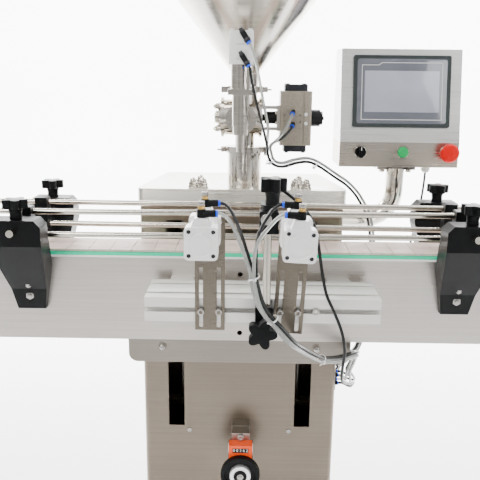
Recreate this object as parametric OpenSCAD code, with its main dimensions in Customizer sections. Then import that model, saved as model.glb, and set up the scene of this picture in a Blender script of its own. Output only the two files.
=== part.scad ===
// Automatic piston liquid filler: one filling head over a slat-chain conveyor.
// Millimetres, +Z up, the floor is z = 0, the operator stands on the -Y side.

/* [Conveyor] */
// Height of the wear strips, on which the chain slides, above the floor
deck_h = 860; // [800:5:960]
// Width of the slat chain
belt_w = 82.6; // [70:0.1:120]
// Thickness of a chain slat
belt_t = 4; // [3:0.5:6]
// Pitch of the chain
chain_pitch = 38.1; // [30:0.1:45]
// Links along the straight top run, an even number
top_links = 50; // [44:2:60]
// Teeth of the two chain wheels
wheel_teeth = 10; // [8:2:12]
// Sheet of the conveyor side plates
plate_t = 3; // [2:0.5:5]
// How far the side plates hang below the deck
plate_drop = 161; // [150:1:190]

/* [Guide rails] */
// Diameter of a guide rail rod
rail_d = 10; // [8:0.5:12]
// Height of the lower rods above the deck
rail_low = 33; // [25:1:45]
// Height between lower and upper rods
rail_rise = 40; // [34:1:48]
// Half length of the rods
rail_half = 850; // [600:10:900]
// Near rods in front of the belt edge
rail_near = 8; // [4:0.5:14]
// Far rods behind the near belt edge
rail_far = 70.5; // [62:0.5:78]
// Distance of the rail brackets from their middle
bracket_x = 371; // [330:1:420]

/* [Cabinet] */
// Width of the cabinet
cab_w = 400; // [380:5:460]
// Depth of the cabinet
cab_d = 231; // [220:1:300]
// Distance of the cabinet front behind the near belt edge
cab_front = 155; // [150:1:180]
// Sheet of the cabinet
cab_t = 2; // [1.5:0.5:3]
// Width of the base frame
base_w = 500; // [460:5:640]
// Height of the levelling feet
foot_h = 70; // [50:1:90]

/* [Dosing] */
// Bore of the product cylinder
bore_d = 60; // [50:1:62]
// Outer diameter of the product cylinder
barrel_d = 66; // [64:1:70]
// Dosing stroke
stroke = 80; // [50:1:90]
// Radius of the hopper
hopper_r = 200; // [160:5:230]
// Height of the straight part of the hopper
hopper_wall_h = 172; // [100:1:260]
// Lowest point of the nozzle above the deck
nozzle_z = 172; // [165:1:190]

/* [Bottle stops] */
// Side of a stop cylinder's square end cap
cap_side = 45; // [40:1:48]
// Stroke of a stop cylinder
stop_stroke = 40; // [25:1:45]
// Length of the mounting beam
beam_len = 374; // [340:1:420]
// Height of the mounting beam
beam_h = 40; // [30:1:50]
// Width of a slotted mounting plate
stop_plate_w = 46.8; // [42:0.1:54]

/* [Controls] */
// Width of the control box
box_w = 248; // [230:1:280]
// Height of the control box
box_h = 240; // [232:1:260]
// Lean of the touch screen panel
panel_lean = 9.5; // [5:0.5:15]
// Diameter of the post
post_d = 38; // [30:1:42]
// Diameter of the handwheel
handwheel_d = 78; // [60:1:84]

/* [Hidden] */

$fn = 48;
eps = 0.01;
// Clearances: running shaft, sliding piston, loose hole, gap between bodies
run_c = 0.05;
slide_c = 0.04;
hole_c = 0.2;
gap = 0.4;

// Depth in front of the belt edge that the stop cylinders reach, and the back of the machine
front_reach = 271.6;
door_t = 3;
back_reach = cab_front + cab_d + door_t + 18;
belt_y = (front_reach - back_reach) / 2;
cab_back = cab_front + cab_d;

// Conveyor chain
belt_gap = 0.3;
pitch_drop = 8;
wheel_r = chain_pitch / (2 * sin(180 / wheel_teeth));
wheel_x = top_links * chain_pitch / 2;
pitch_z = belt_gap - pitch_drop;
wheel_z = pitch_z - wheel_r;
plate_gap = 0.2;
near_face = -plate_gap - plate_t;
far_face = belt_w + plate_gap + plate_t;
plate_half = round(wheel_x + wheel_r + 32);
plate_top = -5;
wheel_shaft_d = 25;
flange_t = 8;

// Guide rails
rail_high = rail_low + rail_rise;
rail_mid = rail_low + rail_rise / 2;
near_slope = 0.011;
far_slope = -0.022;
bracket_shift = 5;
cross_rod_d = 12;
cross_reach = 100;
head_y = 64;
head_half = 20;
head_low = 36;
head_top = 71;
knob_d = 44;
stud_d = 6;

// Cabinet and head
tray_h = 34;
cab_top = 54;
tray_top = cab_top + tray_h;
base_h = 60;
base_front = -70;
cab_bottom = foot_h + base_h - deck_h;
axis_x = 4;
axis_y = 190;
slot_x = 132;
slot_w = 33;
slot_top = 25;
slot_bottom = -420;
valve_z = 224;
ferrule_z = 163;
ferrule_d = 70;
upper_ferrule_z = 271;
upper_ferrule_d = 64;
rotor_d = 44;
valve_shaft_d = 14;
act_x0 = 71;
act_x1 = 131;
act_half = 51;
nozzle_x = -3;
nozzle_y = belt_w / 2;
air_block_z = 320;
piston_top = 142;
drive_bore = 50;
drive_top = -40;
lid_z = 306 + (hopper_r - 25) / 0.787 + hopper_wall_h;

// Lift
shaft_z = -478;
shaft_d = 14;
screw_y = 300;
screw_d = 20;
rod_d = 16;
block_front = 99;
counter_front = 76;
arm_w = 26;
arm_low = -200;
arm_high = -166;
tray_low = -204;

// Stops
beam_top = -39.1;
beam_y0 = -126.8;
beam_d = 96;
beam_x = 37;
stop_plate_t = 5;
stop_bore = 32;
stop_rod_d = 12;
stop_pin_d = 8;
left_stop = [-50, 84, 0];
right_stop = [81, 82.5, 2.7];
cap_len = 25;
tube_len = 50;
cyl_back = -front_reach;
cyl_front = cyl_back + 2 * cap_len + tube_len;
port_z = 36;
sensor_x = 42;
sensor_y = -147;

// Controls
box_x = 326;
box_y = 272;
box_z = 120;
bend_z = box_z + 52;
box_back = 385;
control_z = box_z + 32;
selector_x = 244.5;
start_x = 333;
estop_x = 426;
barrel_bore = 14;
post_x = 324;
post_y = 290;
post_z = 7;
bend_r = 60;

// Cords
tube_d = 5;
cable_d = 5;
line_steps = 3;
entry_x = cab_w / 2 + 6;

// ---------- small shared shapes ----------

module at_deck() {
    translate([0, belt_y, deck_h]) children();
}

// Rectangle with round corners, centred
module round_rect(w, h, r) {
    square([w, h - 2 * r], center = true);
    square([w - 2 * r, h], center = true);
    for (sx = [-1, 1], sy = [-1, 1]) {
        translate([sx * (w / 2 - r), sy * (h / 2 - r)]) circle(r);
    }
}

// Cylinder along +Y from y0 to y1 at (x, z)
module along_y(d, x, z, y0, y1) {
    translate([x, y0, z]) rotate([-90, 0, 0]) cylinder(d = d, h = y1 - y0);
}

// Cylinder along +X from x0 to x1 at (y, z)
module along_x(d, x0, x1, y, z) {
    translate([x0, y, z]) rotate([0, 90, 0]) cylinder(d = d, h = x1 - x0);
}

// Upright cylinder from z0 to z1
module upright(d, x, y, z0, z1) {
    translate([x, y, z0]) cylinder(d = d, h = z1 - z0);
}

// Box from its two corners
module box(a, b) {
    translate(a) cube(b - a);
}

// Five-lobed star knob on its stud, standing on z = 0 with the star at the top
module star_knob(d, collar_d, collar_h, star_h, stud_len) {
    cylinder(d = collar_d, h = collar_h + 1);
    translate([0, 0, collar_h]) linear_extrude(star_h) {
        circle(d = d * 0.7);
        for (a = [0 : 72 : 288]) {
            rotate(a) translate([d * 0.34, 0]) circle(d = d * 0.32);
        }
    }
    translate([0, 0, -stud_len]) cylinder(d = stud_d, h = stud_len + 1);
}

function unit(v) = v / norm(v);
function tangent(p, i) = unit(p[min(i + 1, len(p) - 1)] - p[max(i - 1, 0)]);
// Smooth curve through the inner points of p, in steps pieces a span; its two end spans stay straight
function curve_at(a, b, c, d, u) = 0.5 * (2 * b + (c - a) * u + (2 * a - 5 * b + 4 * c - d) * u * u
    + (3 * b - a - 3 * c + d) * u * u * u);
function smooth(p, steps) = let (n = len(p) - 2) concat([p[0]],
    [for (i = [1 : n - 1]) for (k = [0 : steps - 1])
        curve_at(p[i - 1], p[i], p[i + 1], p[i + 2], k / steps)],
    [p[n], p[n + 1]]);
// Side vectors carried along the points from a start vector, so that the rings don't twist
function carried(p, a, i) = i == len(p) ? []
    : let (t = tangent(p, i), s = unit(a - (a * t) * t)) concat([s], carried(p, s, i + 1));
// The points p moved sideways by a and upwards by b, across their course, seen with up as upwards
function beside(p, a, b, up) = [for (i = [0 : len(p) - 1])
    let (t = tangent(p, i), s = unit(cross(t, up))) p[i] + a * s + b * cross(s, t)];

// Tube of diameter d along the points p, in rings of eight
module swept_tube(p, d) {
    n = 8;
    sides = carried(p, [0.31, 0.23, 0.92], 0);
    rings = [for (i = [0 : len(p) - 1])
        let (b = cross(tangent(p, i), sides[i]))
        for (k = [0 : n - 1]) p[i] + d / 2 * (cos(360 * k / n) * sides[i] + sin(360 * k / n) * b)];
    last = (len(p) - 1) * n;
    faces = concat(
        [[for (k = [0 : n - 1]) k]],
        [[for (k = [0 : n - 1]) last + n - 1 - k]],
        [for (i = [0 : len(p) - 2]) for (k = [0 : n - 1])
            [(i + 1) * n + (k + 1) % n, i * n + (k + 1) % n, i * n + k]],
        [for (i = [0 : len(p) - 2]) for (k = [0 : n - 1])
            [(i + 1) * n + k, (i + 1) * n + (k + 1) % n, i * n + k]]);
    polyhedron(points = rings, faces = faces);
}

// ---------- base and cabinet ----------

module base_frame() {
    color("gray") translate([0, belt_y, 0]) {
        difference() {
            box([-base_w / 2, base_front, foot_h], [base_w / 2, cab_back + 12, foot_h + base_h]);
            box([-base_w / 2 + 40, base_front + 40, foot_h - 1],
                [base_w / 2 - 40, cab_back - 28, foot_h + base_h - 3]);
        }
        for (sx = [-1, 1], y = [base_front + 45, cab_back - 33]) {
            translate([sx * (base_w / 2 - 45), y, 0]) {
                cylinder(d = 60, h = 10);
                translate([0, 0, 9]) cylinder(d1 = 44, d2 = 24, h = 12);
                cylinder(d = 16, h = foot_h + 10);
                translate([0, 0, foot_h - 12]) cylinder(d = 26, h = 13, $fn = 6);
            }
        }
    }
}

module cabinet_shell() {
    mid_y = cab_front + cab_d / 2;
    h = cab_top - cab_bottom;
    color("silver") at_deck() difference() {
        union() {
            difference() {
                translate([0, mid_y, cab_bottom]) linear_extrude(h) round_rect(cab_w, cab_d, 10);
                translate([0, mid_y, cab_bottom - 1]) linear_extrude(h + 1 - cab_t)
                    round_rect(cab_w - 2 * cab_t, cab_d - 2 * cab_t, 10 - cab_t);
            }
            // hinge lugs and pins of the rear door
            for (z = [-640, -100]) {
                box([-178, cab_back - 1, z + 25 + gap], [-168, cab_back + 11, z + 37]);
                upright(6, -172, cab_back + 6, z + gap, z + 30);
            }
        }
        for (s = [-1, 1]) {
            box([s * slot_x - slot_w / 2, cab_front - 1, slot_bottom],
                [s * slot_x + slot_w / 2, cab_front + 12, slot_top]);
        }
        along_y(26, axis_x, shaft_z, cab_front - 1, cab_front + 5);
        box([-150, cab_back - 5, -700], [150, cab_back + 5, -40]);
        along_x(post_d + hole_c, cab_w / 2 - 5, cab_w / 2 + 5, post_y, post_z);
        translate([axis_x, axis_y, cab_top - 5]) cylinder(d = barrel_d + 14, h = 10);
        box([cab_w / 2 - 5, 166, -342], [cab_w / 2 + 1, 276, -296]);
    }
}

module cap_nut(x, y) {
    translate([x, y, tray_top]) {
        cylinder(d = 20, h = 2);
        cylinder(d = 17, h = 10, $fn = 6);
        cylinder(d = 12, h = 13);
        translate([0, 0, 13]) sphere(d = 12);
    }
}

module top_tray() {
    r = 15;
    front = 151;
    half = cab_w / 2 + 4;
    back_half = half - 33;
    color("gainsboro") at_deck() {
        difference() {
            translate([0, 0, cab_top]) linear_extrude(tray_h) hull() {
                for (s = [-1, 1]) {
                    translate([s * (half - r), front + r]) circle(r, $fn = 32);
                    translate([s * (back_half - 3), cab_back - 3]) circle(3, $fn = 16);
                }
            }
            translate([0, 0, cab_top - 1]) linear_extrude(tray_h + 1 - cab_t) hull() {
                for (s = [-1, 1]) {
                    translate([s * (half - r), front + r]) circle(r - cab_t, $fn = 32);
                    translate([s * (back_half - 4), cab_back - 4]) circle(2, $fn = 16);
                }
            }
            translate([axis_x, axis_y, cab_top]) cylinder(d = barrel_d + 0.6, h = tray_h + 10);
        }
        cap_nut(-96, 176);
        cap_nut(-84, 214);
        cap_nut(-76, 170);
        cap_nut(104, 176);
        cap_nut(114, 214);
        cap_nut(126, 172);
    }
}

module rear_door() {
    y = cab_back + gap;
    color("silver") at_deck() {
        box([-165, y, -712], [165, y + door_t, -28]);
        // barrels of the hinges, on their leaves
        for (z = [-640, -100]) {
            difference() {
                union() {
                    box([-172, y, z], [-160, y + door_t, z + 25]);
                    upright(10.6, -172, cab_back + 6, z, z + 25);
                }
                upright(6 + 2 * run_c, -172, cab_back + 6, z - 1, z + 26);
            }
        }
        along_y(26, 140, -370, y + door_t - 1, y + door_t + 3);
        along_y(16, 140, -370, y + door_t + 2, y + door_t + 14);
        // louvres
        for (i = [0 : 7]) {
            box([-60, y + door_t - 1, -240 + 18 * i], [60, y + door_t + 3, -234 + 18 * i]);
        }
    }
}

// ---------- dosing group ----------

module product_cylinder() {
    color("lightgray") at_deck() translate([axis_x, axis_y, 0]) difference() {
        union() {
            upright(barrel_d, 0, 0, piston_top - 30 - stroke - 7, ferrule_z);
            upright(ferrule_d, 0, 0, ferrule_z - 6, ferrule_z);
            box([-55, -31, 44], [55, 45, 52]);
        }
        upright(bore_d, 0, 0, piston_top - 30 - stroke - 8, ferrule_z + 1);
    }
}

module drive_cylinder() {
    low = drive_top - 60 - stroke - 40;
    color("darkgray") at_deck() translate([axis_x, axis_y, 0]) {
        difference() {
            union() {
                upright(drive_bore + 8, 0, 0, low, drive_top);
                translate([0, 0, drive_top - 20]) linear_extrude(20) round_rect(64, 64, 6);
                translate([0, 0, low]) linear_extrude(20) round_rect(64, 64, 6);
            }
            upright(drive_bore, 0, 0, low + 20, drive_top - 20);
            upright(20 + 2 * slide_c, 0, 0, drive_top - 21, drive_top + 1);
        }
        for (sx = [-1, 1], sy = [-1, 1]) {
            upright(8, sx * 27, sy * 27, drive_top, 44);
        }
    }
}

module piston() {
    color("white") at_deck() translate([axis_x, axis_y, 0]) {
        difference() {
            upright(bore_d - 2 * slide_c, 0, 0, piston_top - 30, piston_top);
            for (z = [8, 20]) {
                translate([0, 0, piston_top - z]) difference() {
                    cylinder(d = bore_d + 1, h = 3);
                    translate([0, 0, -1]) cylinder(d = bore_d - 4, h = 5);
                }
            }
        }
        upright(20, 0, 0, drive_top - 45, piston_top - 29);
        upright(drive_bore - 2 * slide_c, 0, 0, drive_top - 50, drive_top - 30);
    }
}

// Clamp ring round a pair of ferrules whose joint is at z
module clamp_ring(d, z) {
    translate([0, 0, z - 5.7]) difference() {
        cylinder(d = d + 7, h = 11.4);
        translate([0, 0, -1]) cylinder(d = d + 2 * hole_c, h = 14);
    }
}

// Swing bolt and wing nut of a clamp, lying along Y
module wing_bolt(x, z) {
    box([x - 4, -9, z - 5], [x + 4, 9, z + 5]);
    along_y(6, x, z, -22, -8);
    box([x - 11, -20, z - 1.5], [x + 11, -16, z + 1.5]);
    along_y(9, x, z, -21, -15);
}

module pipe_work() {
    color("silver") at_deck() {
        translate([axis_x, axis_y, 0]) {
            clamp_ring(ferrule_d, ferrule_z);
            wing_bolt(-42, ferrule_z);
            box([38, -8, ferrule_z - 12], [46, 8, ferrule_z + 5]);
            clamp_ring(upper_ferrule_d, upper_ferrule_z + 6);
            wing_bolt(39, upper_ferrule_z + 6);
            box([-46, -8, upper_ferrule_z], [-35, 8, upper_ferrule_z + 11]);
        }
        // outlet pipe from the valve to the nozzle
        difference() {
            union() {
                along_y(25, nozzle_x, valve_z, nozzle_y + 22.7, 131);
                along_y(50.5, nozzle_x, valve_z, 130, 135);
                difference() {
                    along_y(57, nozzle_x, valve_z, 130.4, 139.6);
                    along_y(50.5 + 2 * hole_c, nozzle_x, valve_z, 134.9, 141);
                }
            }
            along_y(21, nozzle_x, valve_z, nozzle_y, 150);
        }
    }
}

module valve_body() {
    color("lightgray") at_deck() {
        difference() {
            union() {
                along_x(68, -42, 37, axis_y, valve_z);
                along_x(76, -42, -36, axis_y, valve_z);
                along_x(76, 31, 37, axis_y, valve_z);
                upright(38, axis_x, axis_y, ferrule_z + 2, valve_z);
                upright(ferrule_d, axis_x, axis_y, ferrule_z, ferrule_z + 6);
                upright(48, axis_x, axis_y, valve_z, upper_ferrule_z + 2);
                upright(upper_ferrule_d, axis_x, axis_y, upper_ferrule_z, upper_ferrule_z + 6);
                along_y(28, nozzle_x, valve_z, 138, axis_y);
                along_y(50.5, nozzle_x, valve_z, 135, 140);
                // end cover with its knurled nuts
                along_x(50, -47, -41, axis_y, valve_z);
                for (a = [45 : 90 : 315]) {
                    along_x(9, -52, -41, axis_y + 30 * cos(a), valve_z + 30 * sin(a));
                }
                // yoke that carries the actuator
                box([36, axis_y - 20, valve_z + 17], [act_x0, axis_y + 20, valve_z + 23]);
                box([36, axis_y - 20, valve_z - 23], [act_x0, axis_y + 20, valve_z - 17]);
                box([65, axis_y - 23, valve_z - 24], [act_x0, axis_y + 23, valve_z + 24]);
            }
            along_x(rotor_d, -36, 31, axis_y, valve_z);
            along_x(valve_shaft_d + 2 * run_c, 30, 40, axis_y, valve_z);
            along_x(26, 64, act_x0 + 1, axis_y, valve_z);
            upright(26, axis_x, axis_y, ferrule_z - 1, valve_z);
            upright(34, axis_x, axis_y, valve_z + 5, upper_ferrule_z + 8);
            along_y(21, nozzle_x, valve_z, 130, axis_y);
        }
    }
}

module valve_rotor() {
    color("dimgray") at_deck() {
        difference() {
            along_x(rotor_d - 2 * run_c, -35.6, 30.6, axis_y, valve_z);
            along_y(20, nozzle_x, valve_z, axis_y - 30, axis_y + 30);
            upright(24, axis_x, axis_y, valve_z - 30, valve_z);
        }
        along_x(valve_shaft_d, 30, act_x1 + 3, axis_y, valve_z);
        along_x(24, 42, 63, axis_y, valve_z);
        along_x(18, act_x0 + 6, act_x1 - 3, axis_y, valve_z);
        // position indicator
        along_x(32.5, act_x1 + gap, act_x1 + 18, axis_y, valve_z);
        along_x(26, act_x1 + 17, act_x1 + 23, axis_y, valve_z);
        box([act_x1 + 22, axis_y - 11, valve_z - 2.5], [act_x1 + 25, axis_y + 11, valve_z + 2.5]);
    }
}

module actuator_body() {
    mid_x = (act_x0 + act_x1) / 2;
    w = act_x1 - act_x0;
    color("tan") at_deck() difference() {
        union() {
            translate([mid_x, axis_y, valve_z - act_half]) linear_extrude(2 * act_half) round_rect(w, 60, 5);
            for (s = [-1, 1]) {
                translate([mid_x, axis_y, valve_z + s * (act_half + 6) - 6.5]) linear_extrude(13)
                    round_rect(44, 50, 9);
            }
        }
        upright(44, mid_x, axis_y, valve_z - act_half + 4, valve_z + act_half - 4);
        along_x(20, act_x0 - 1, act_x1 + 1, axis_y, valve_z);
        // groove down the front face, mounting holes beside the air ports
        box([113, axis_y - 31, valve_z - act_half - 1], [117, axis_y - 28, valve_z + act_half + 1]);
        for (x = [79, 109], z = [-6, 6]) {
            along_y(4.2, x, valve_z + z, axis_y - 31, axis_y - 24);
        }
    }
}

module hopper() {
    r0 = 25;
    z0 = upper_ferrule_z + 12;
    zc = lid_z - hopper_wall_h;
    wall = 2;
    color("silver") at_deck() translate([axis_x, axis_y, 0]) rotate_extrude($fn = 96) {
        polygon([[r0 - wall, z0 - 6], [upper_ferrule_d / 2, z0 - 6], [upper_ferrule_d / 2, z0], [r0, z0],
            [r0, 306], [hopper_r, zc], [hopper_r, lid_z], [hopper_r - wall, lid_z],
            [hopper_r - wall, zc + 1], [r0 - wall, 307]]);
        translate([hopper_r + 2, lid_z - 5]) circle(5, $fn = 24);
    }
}

module hopper_lid() {
    color("silver") at_deck() translate([axis_x, axis_y, lid_z + 0.3]) {
        cylinder(r = hopper_r + 6, h = 2, $fn = 96);
        translate([0, 0, -14]) difference() {
            cylinder(r = hopper_r - 6, h = 15, $fn = 96);
            translate([0, 0, -1]) cylinder(r = hopper_r - 8, h = 17, $fn = 96);
        }
        for (s = [-1, 1]) {
            upright(10, s * 55, 0, 1, 34);
        }
        along_x(10, -55, 55, 0, 34);
        for (s = [-1, 1]) {
            translate([s * 55, 0, 34]) sphere(d = 10);
        }
    }
}

// ---------- nozzle ----------

module nozzle_body() {
    z = nozzle_z;
    color("silver") at_deck() translate([nozzle_x, nozzle_y, 0]) difference() {
        union() {
            upright(12.5, 0, 0, z, z + 31);
            upright(26, 0, 0, z + 30, z + 46);
            upright(28.7, 0, 0, z + 45, 271);
            translate([0, 0, 270]) linear_extrude(9.5) round_rect(44, 44, 3);
            upright(34.5, 0, 0, 279, air_block_z);
            along_y(32, 0, valve_z, 0, 22.7);
        }
        upright(9, 0, 0, z - 1, z + 32);
        upright(20, 0, 0, z + 31, 266);
        upright(6 + 2 * slide_c, 0, 0, 260, air_block_z + 1);
        along_y(21, 0, valve_z, 5, 24);
    }
}

module nozzle_cylinder() {
    z = air_block_z;
    color("whitesmoke") at_deck() translate([nozzle_x, nozzle_y, 0]) {
        difference() {
            union() {
                translate([0, 0, z]) linear_extrude(54) round_rect(41, 41, 5);
                for (zz = [z + 9, z + 33]) {
                    box([-9, -23, zz], [9, -18, zz + 14]);
                }
            }
            upright(32, 0, 0, z + 5, z + 49);
            upright(6 + 2 * slide_c, 0, 0, z - 1, z + 6);
        }
        for (sx = [-1, 1], sy = [-1, 1]) {
            upright(7, sx * 15, sy * 15, z + 53, z + 57);
        }
    }
}

module nozzle_rod() {
    z = nozzle_z;
    color("silver") at_deck() translate([nozzle_x, nozzle_y, 0]) {
        upright(9 - 2 * slide_c, 0, 0, z + 4, z + 12);
        upright(6, 0, 0, z + 10, air_block_z + 10);
        upright(32 - 2 * slide_c, 0, 0, air_block_z + 7, air_block_z + 15);
    }
}

// Push-in elbow on a face at y = face: a stem to the middle, then a body to the tip
module elbow(face, mid, tip, d) {
    run = tip - mid;
    along_y(d * 0.8, mid[0], mid[2], mid[1], face);
    translate(mid) {
        sphere(d = d);
        rotate([0, acos(run[2] / norm(run)), atan2(run[1], run[0])]) cylinder(d = d, h = norm(run));
    }
}

function elbow_tip(i) = elbow_mids[i] + (i < 2 ? [9, -4, -14] : [-2, -9, -3]);

module air_fittings() {
    color("black") at_deck() {
        for (i = [0 : 1]) {
            elbow(nozzle_y - 23, elbow_mids[i], elbow_tip(i), 10);
            elbow(axis_y - 30, elbow_mids[i + 2], elbow_tip(i + 2), 9);
        }
        // entry plate on the right wall with one bulkhead union a line
        box([cab_w / 2 - 1.4, 168, -340], [cab_w / 2 + 2, 274, -298]);
        for (i = [0, 1, 2, 3, 4, 6, 7, 8, 9, 10]) {
            along_x(9, cab_w / 2 + 1, entry_x, entry(i)[1], entry(i)[2]);
        }
        // cable gland under the control box
        upright(14, 391, 300, box_z - 9, box_z);
        upright(18, 391, 300, box_z - 4, box_z);
    }
}

// Elbows on the nozzle's air block, then on the actuator
elbow_mids = [[nozzle_x + 3, 11, 369], [nozzle_x + 3, 11, 332], [95, 152, valve_z + 13], [95, 152, valve_z - 10]];
// The unions of the entry plate, in columns of two; the conveyor's lines take 0 to 4
function entry(i) = [entry_x, 174 + 18 * floor(i / 2), -326 + 18 * (i % 2)];

// ---------- controls ----------

module control_post() {
    wall_x = cab_w / 2;
    color("silver") at_deck() {
        along_x(80, wall_x, wall_x + 6, post_y, post_z);
        along_x(post_d, wall_x - 4, post_x - bend_r, post_y, post_z);
        translate([post_x - bend_r, post_y, post_z + bend_r]) rotate([90, 0, 0]) rotate([0, 0, -90])
            rotate_extrude(angle = 90) translate([bend_r, 0]) circle(d = post_d);
        upright(post_d, post_x, post_y, post_z + bend_r, box_z - 4);
        box([post_x - 40, post_y - 12, box_z - 6], [post_x + 40, post_y + 34, box_z]);
        for (s = [-1, 1]) {
            upright(12, post_x + s * 28, post_y, box_z - 12, box_z - 5);
        }
    }
}

module box_outline(inset) {
    top = box_z + box_h;
    lean = (top - bend_z) * tan(panel_lean);
    polygon([[box_y + inset, box_z + inset], [box_back - inset, box_z + inset],
        [box_back - inset, top - inset], [box_y + lean + inset, top - inset],
        [box_y + inset, bend_z]]);
}

// Frame of the leaning panel: origin at its middle, x right, z up the panel
module on_panel() {
    z = bend_z + 102;
    translate([box_x, box_y + (z - bend_z) * tan(panel_lean), z]) rotate([-panel_lean, 0, 0]) children();
}

module control_box() {
    color("silver") at_deck() difference() {
        translate([box_x - box_w / 2, 0, 0]) rotate([90, 0, 90]) linear_extrude(box_w) box_outline(0);
        translate([box_x - box_w / 2 + 2, 0, 0]) rotate([90, 0, 90]) linear_extrude(box_w - 4) box_outline(2);
        on_panel() box([-95.4, -5, -68.4], [95.4, 12, 68.4]);
        for (x = [selector_x, start_x, estop_x]) {
            along_y(22 + 2 * hole_c, x, control_z, box_y - 1, box_y + 5);
        }
    }
}

module touch_panel() {
    color("slategray") at_deck() on_panel() {
        translate([0, 0, 0]) rotate([90, 0, 0]) linear_extrude(6) round_rect(200.4, 146.5, 4);
        box([-95, -1, -68], [95, 30, 68]);
    }
}

module button_bezels() {
    color("silver") at_deck() for (x = [selector_x, start_x, estop_x]) {
        difference() {
            union() {
                along_y(29, x, control_z, box_y - 6, box_y);
                along_y(22, x, control_z, box_y - 1, box_y + 24);
            }
            along_y(22.8, x, control_z, box_y - 7, box_y - 0.2);
            along_y(barrel_bore + 2 * run_c, x, control_z, box_y - 1, box_y + 25);
        }
    }
}

module selector_knob() {
    color("black") at_deck() {
        along_y(22, selector_x, control_z, box_y - 12, box_y - 1);
        box([selector_x - 4, box_y - 20, control_z - 11], [selector_x + 4, box_y - 11, control_z + 11]);
        along_y(barrel_bore, selector_x, control_z, box_y - 2, box_y + 22);
    }
}

module start_button() {
    color("green") at_deck() {
        along_y(22, start_x, control_z, box_y - 9, box_y - 3.6);
        along_y(barrel_bore, start_x, control_z, box_y - 4, box_y + 20);
    }
}

module stop_button() {
    color("red") at_deck() {
        along_y(39, estop_x, control_z, box_y - 26, box_y - 15);
        along_y(30, estop_x, control_z, box_y - 29, box_y - 25);
        along_y(18, estop_x, control_z, box_y - 16, box_y - 5.6);
        along_y(barrel_bore, estop_x, control_z, box_y - 6, box_y + 18);
    }
}

// ---------- conveyor lift ----------

module lift_frame() {
    inner = cab_w / 2 - cab_t;
    color("silver") at_deck() {
        difference() {
            union() {
                box([axis_x - 18.5, 128, shaft_z - 27], [axis_x + 18.5, cab_front, -404.5]);
                box([axis_x - 18, block_front, shaft_z - 26], [axis_x + 18, 129, -405]);
                along_y(13, axis_x, -412.6, block_front - 4, block_front + 1);
                along_y(25, axis_x, shaft_z, cab_front - 1, cab_front + 14);
            }
            along_y(shaft_d + 2 * run_c, axis_x, shaft_z, block_front - 5, cab_front + 20);
            along_y(5.5, axis_x, -412.6, block_front - 5, block_front - 1.5);
        }
        for (z = [-440, 38]) {
            difference() {
                box([-inner, screw_y - 14, z], [inner, screw_y + 14, z + 12]);
                upright(screw_d + 2 * run_c, axis_x, screw_y, z - 1, z + 13);
            }
        }
        for (s = [-1, 1]) {
            upright(rod_d, s * slot_x, screw_y, -430, 40);
        }
    }
}

module lift_screw() {
    color("gray") at_deck() translate([axis_x, screw_y, 0]) {
        upright(screw_d, 0, 0, shaft_z + 20, 49);
        translate([0, 0, shaft_z + 16]) cylinder(r1 = 15.6, r2 = 23.6, h = 8);
        upright(30, 0, 0, shaft_z + 24, shaft_z + 36);
    }
}

module position_counter() {
    back = block_front - 0.3;
    color("orangered") at_deck() difference() {
        union() {
            box([axis_x - 23.5, counter_front, shaft_z - 4], [axis_x + 23.5, back, -420]);
            along_y(47, axis_x, shaft_z, counter_front, back);
        }
        along_y(shaft_d + 0.6, axis_x, shaft_z, counter_front - 1, back + 1);
        box([axis_x - 16, counter_front - 1, -436], [axis_x + 16, counter_front + 2, -426]);
    }
}

module handwheel() {
    back = counter_front - 2;
    color("black") at_deck() {
        difference() {
            along_y(handwheel_d, axis_x, shaft_z, back - 13, back);
            along_y(handwheel_d - 14, axis_x, shaft_z, back - 14, back - 6);
        }
        along_y(42, axis_x, shaft_z, back - 15, back - 1);
        along_y(26, axis_x, shaft_z, back - 18, back - 14);
        along_y(shaft_d, axis_x, shaft_z, back - 2, screw_y - 18);
        translate([axis_x, screw_y - 24, shaft_z]) rotate([-90, 0, 0]) cylinder(r1 = 23.6, r2 = 15.6, h = 8);
    }
}

module support_tray() {
    half = cab_w / 2;
    top = -plate_drop;
    y1 = cab_front - 5;
    color("silver") at_deck() {
        intersection() {
            difference() {
                box([-half, near_face, tray_low], [half, y1, top]);
                box([-half + 2.5, near_face + 2.5, tray_low - 1], [half - 2.5, y1 + 1, top - 2.5]);
            }
            // front outline with round lower corners
            translate([0, y1 + 1, 0]) rotate([90, 0, 0]) linear_extrude(y1 + 10) union() {
                translate([0, (tray_low + top) / 2]) round_rect(2 * half, top - tray_low, 16);
                translate([-half, top - 20]) square([2 * half, 20]);
            }
        }
        for (s = [-1, 1]) {
            along_y(16, s * 139, -175, near_face - 2, near_face + 1);
            along_y(11, s * 139, -175, near_face - 4, near_face - 1);
            difference() {
                box([s * slot_x - arm_w / 2, 20, arm_low], [s * slot_x + arm_w / 2, screw_y, top - 2]);
                upright(rod_d + 2 * slide_c, s * slot_x, screw_y, arm_low - 40, top + 10);
            }
        }
        difference() {
            box([-slot_x - 20, screw_y - 15, -216], [slot_x + 20, screw_y + 15, -150]);
            for (s = [-1, 1]) {
                upright(rod_d + 2 * slide_c, s * slot_x, screw_y, -230, -140);
            }
            upright(screw_d + 2 * run_c, axis_x, screw_y, -230, -140);
        }
    }
}

// ---------- conveyor ----------

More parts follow.
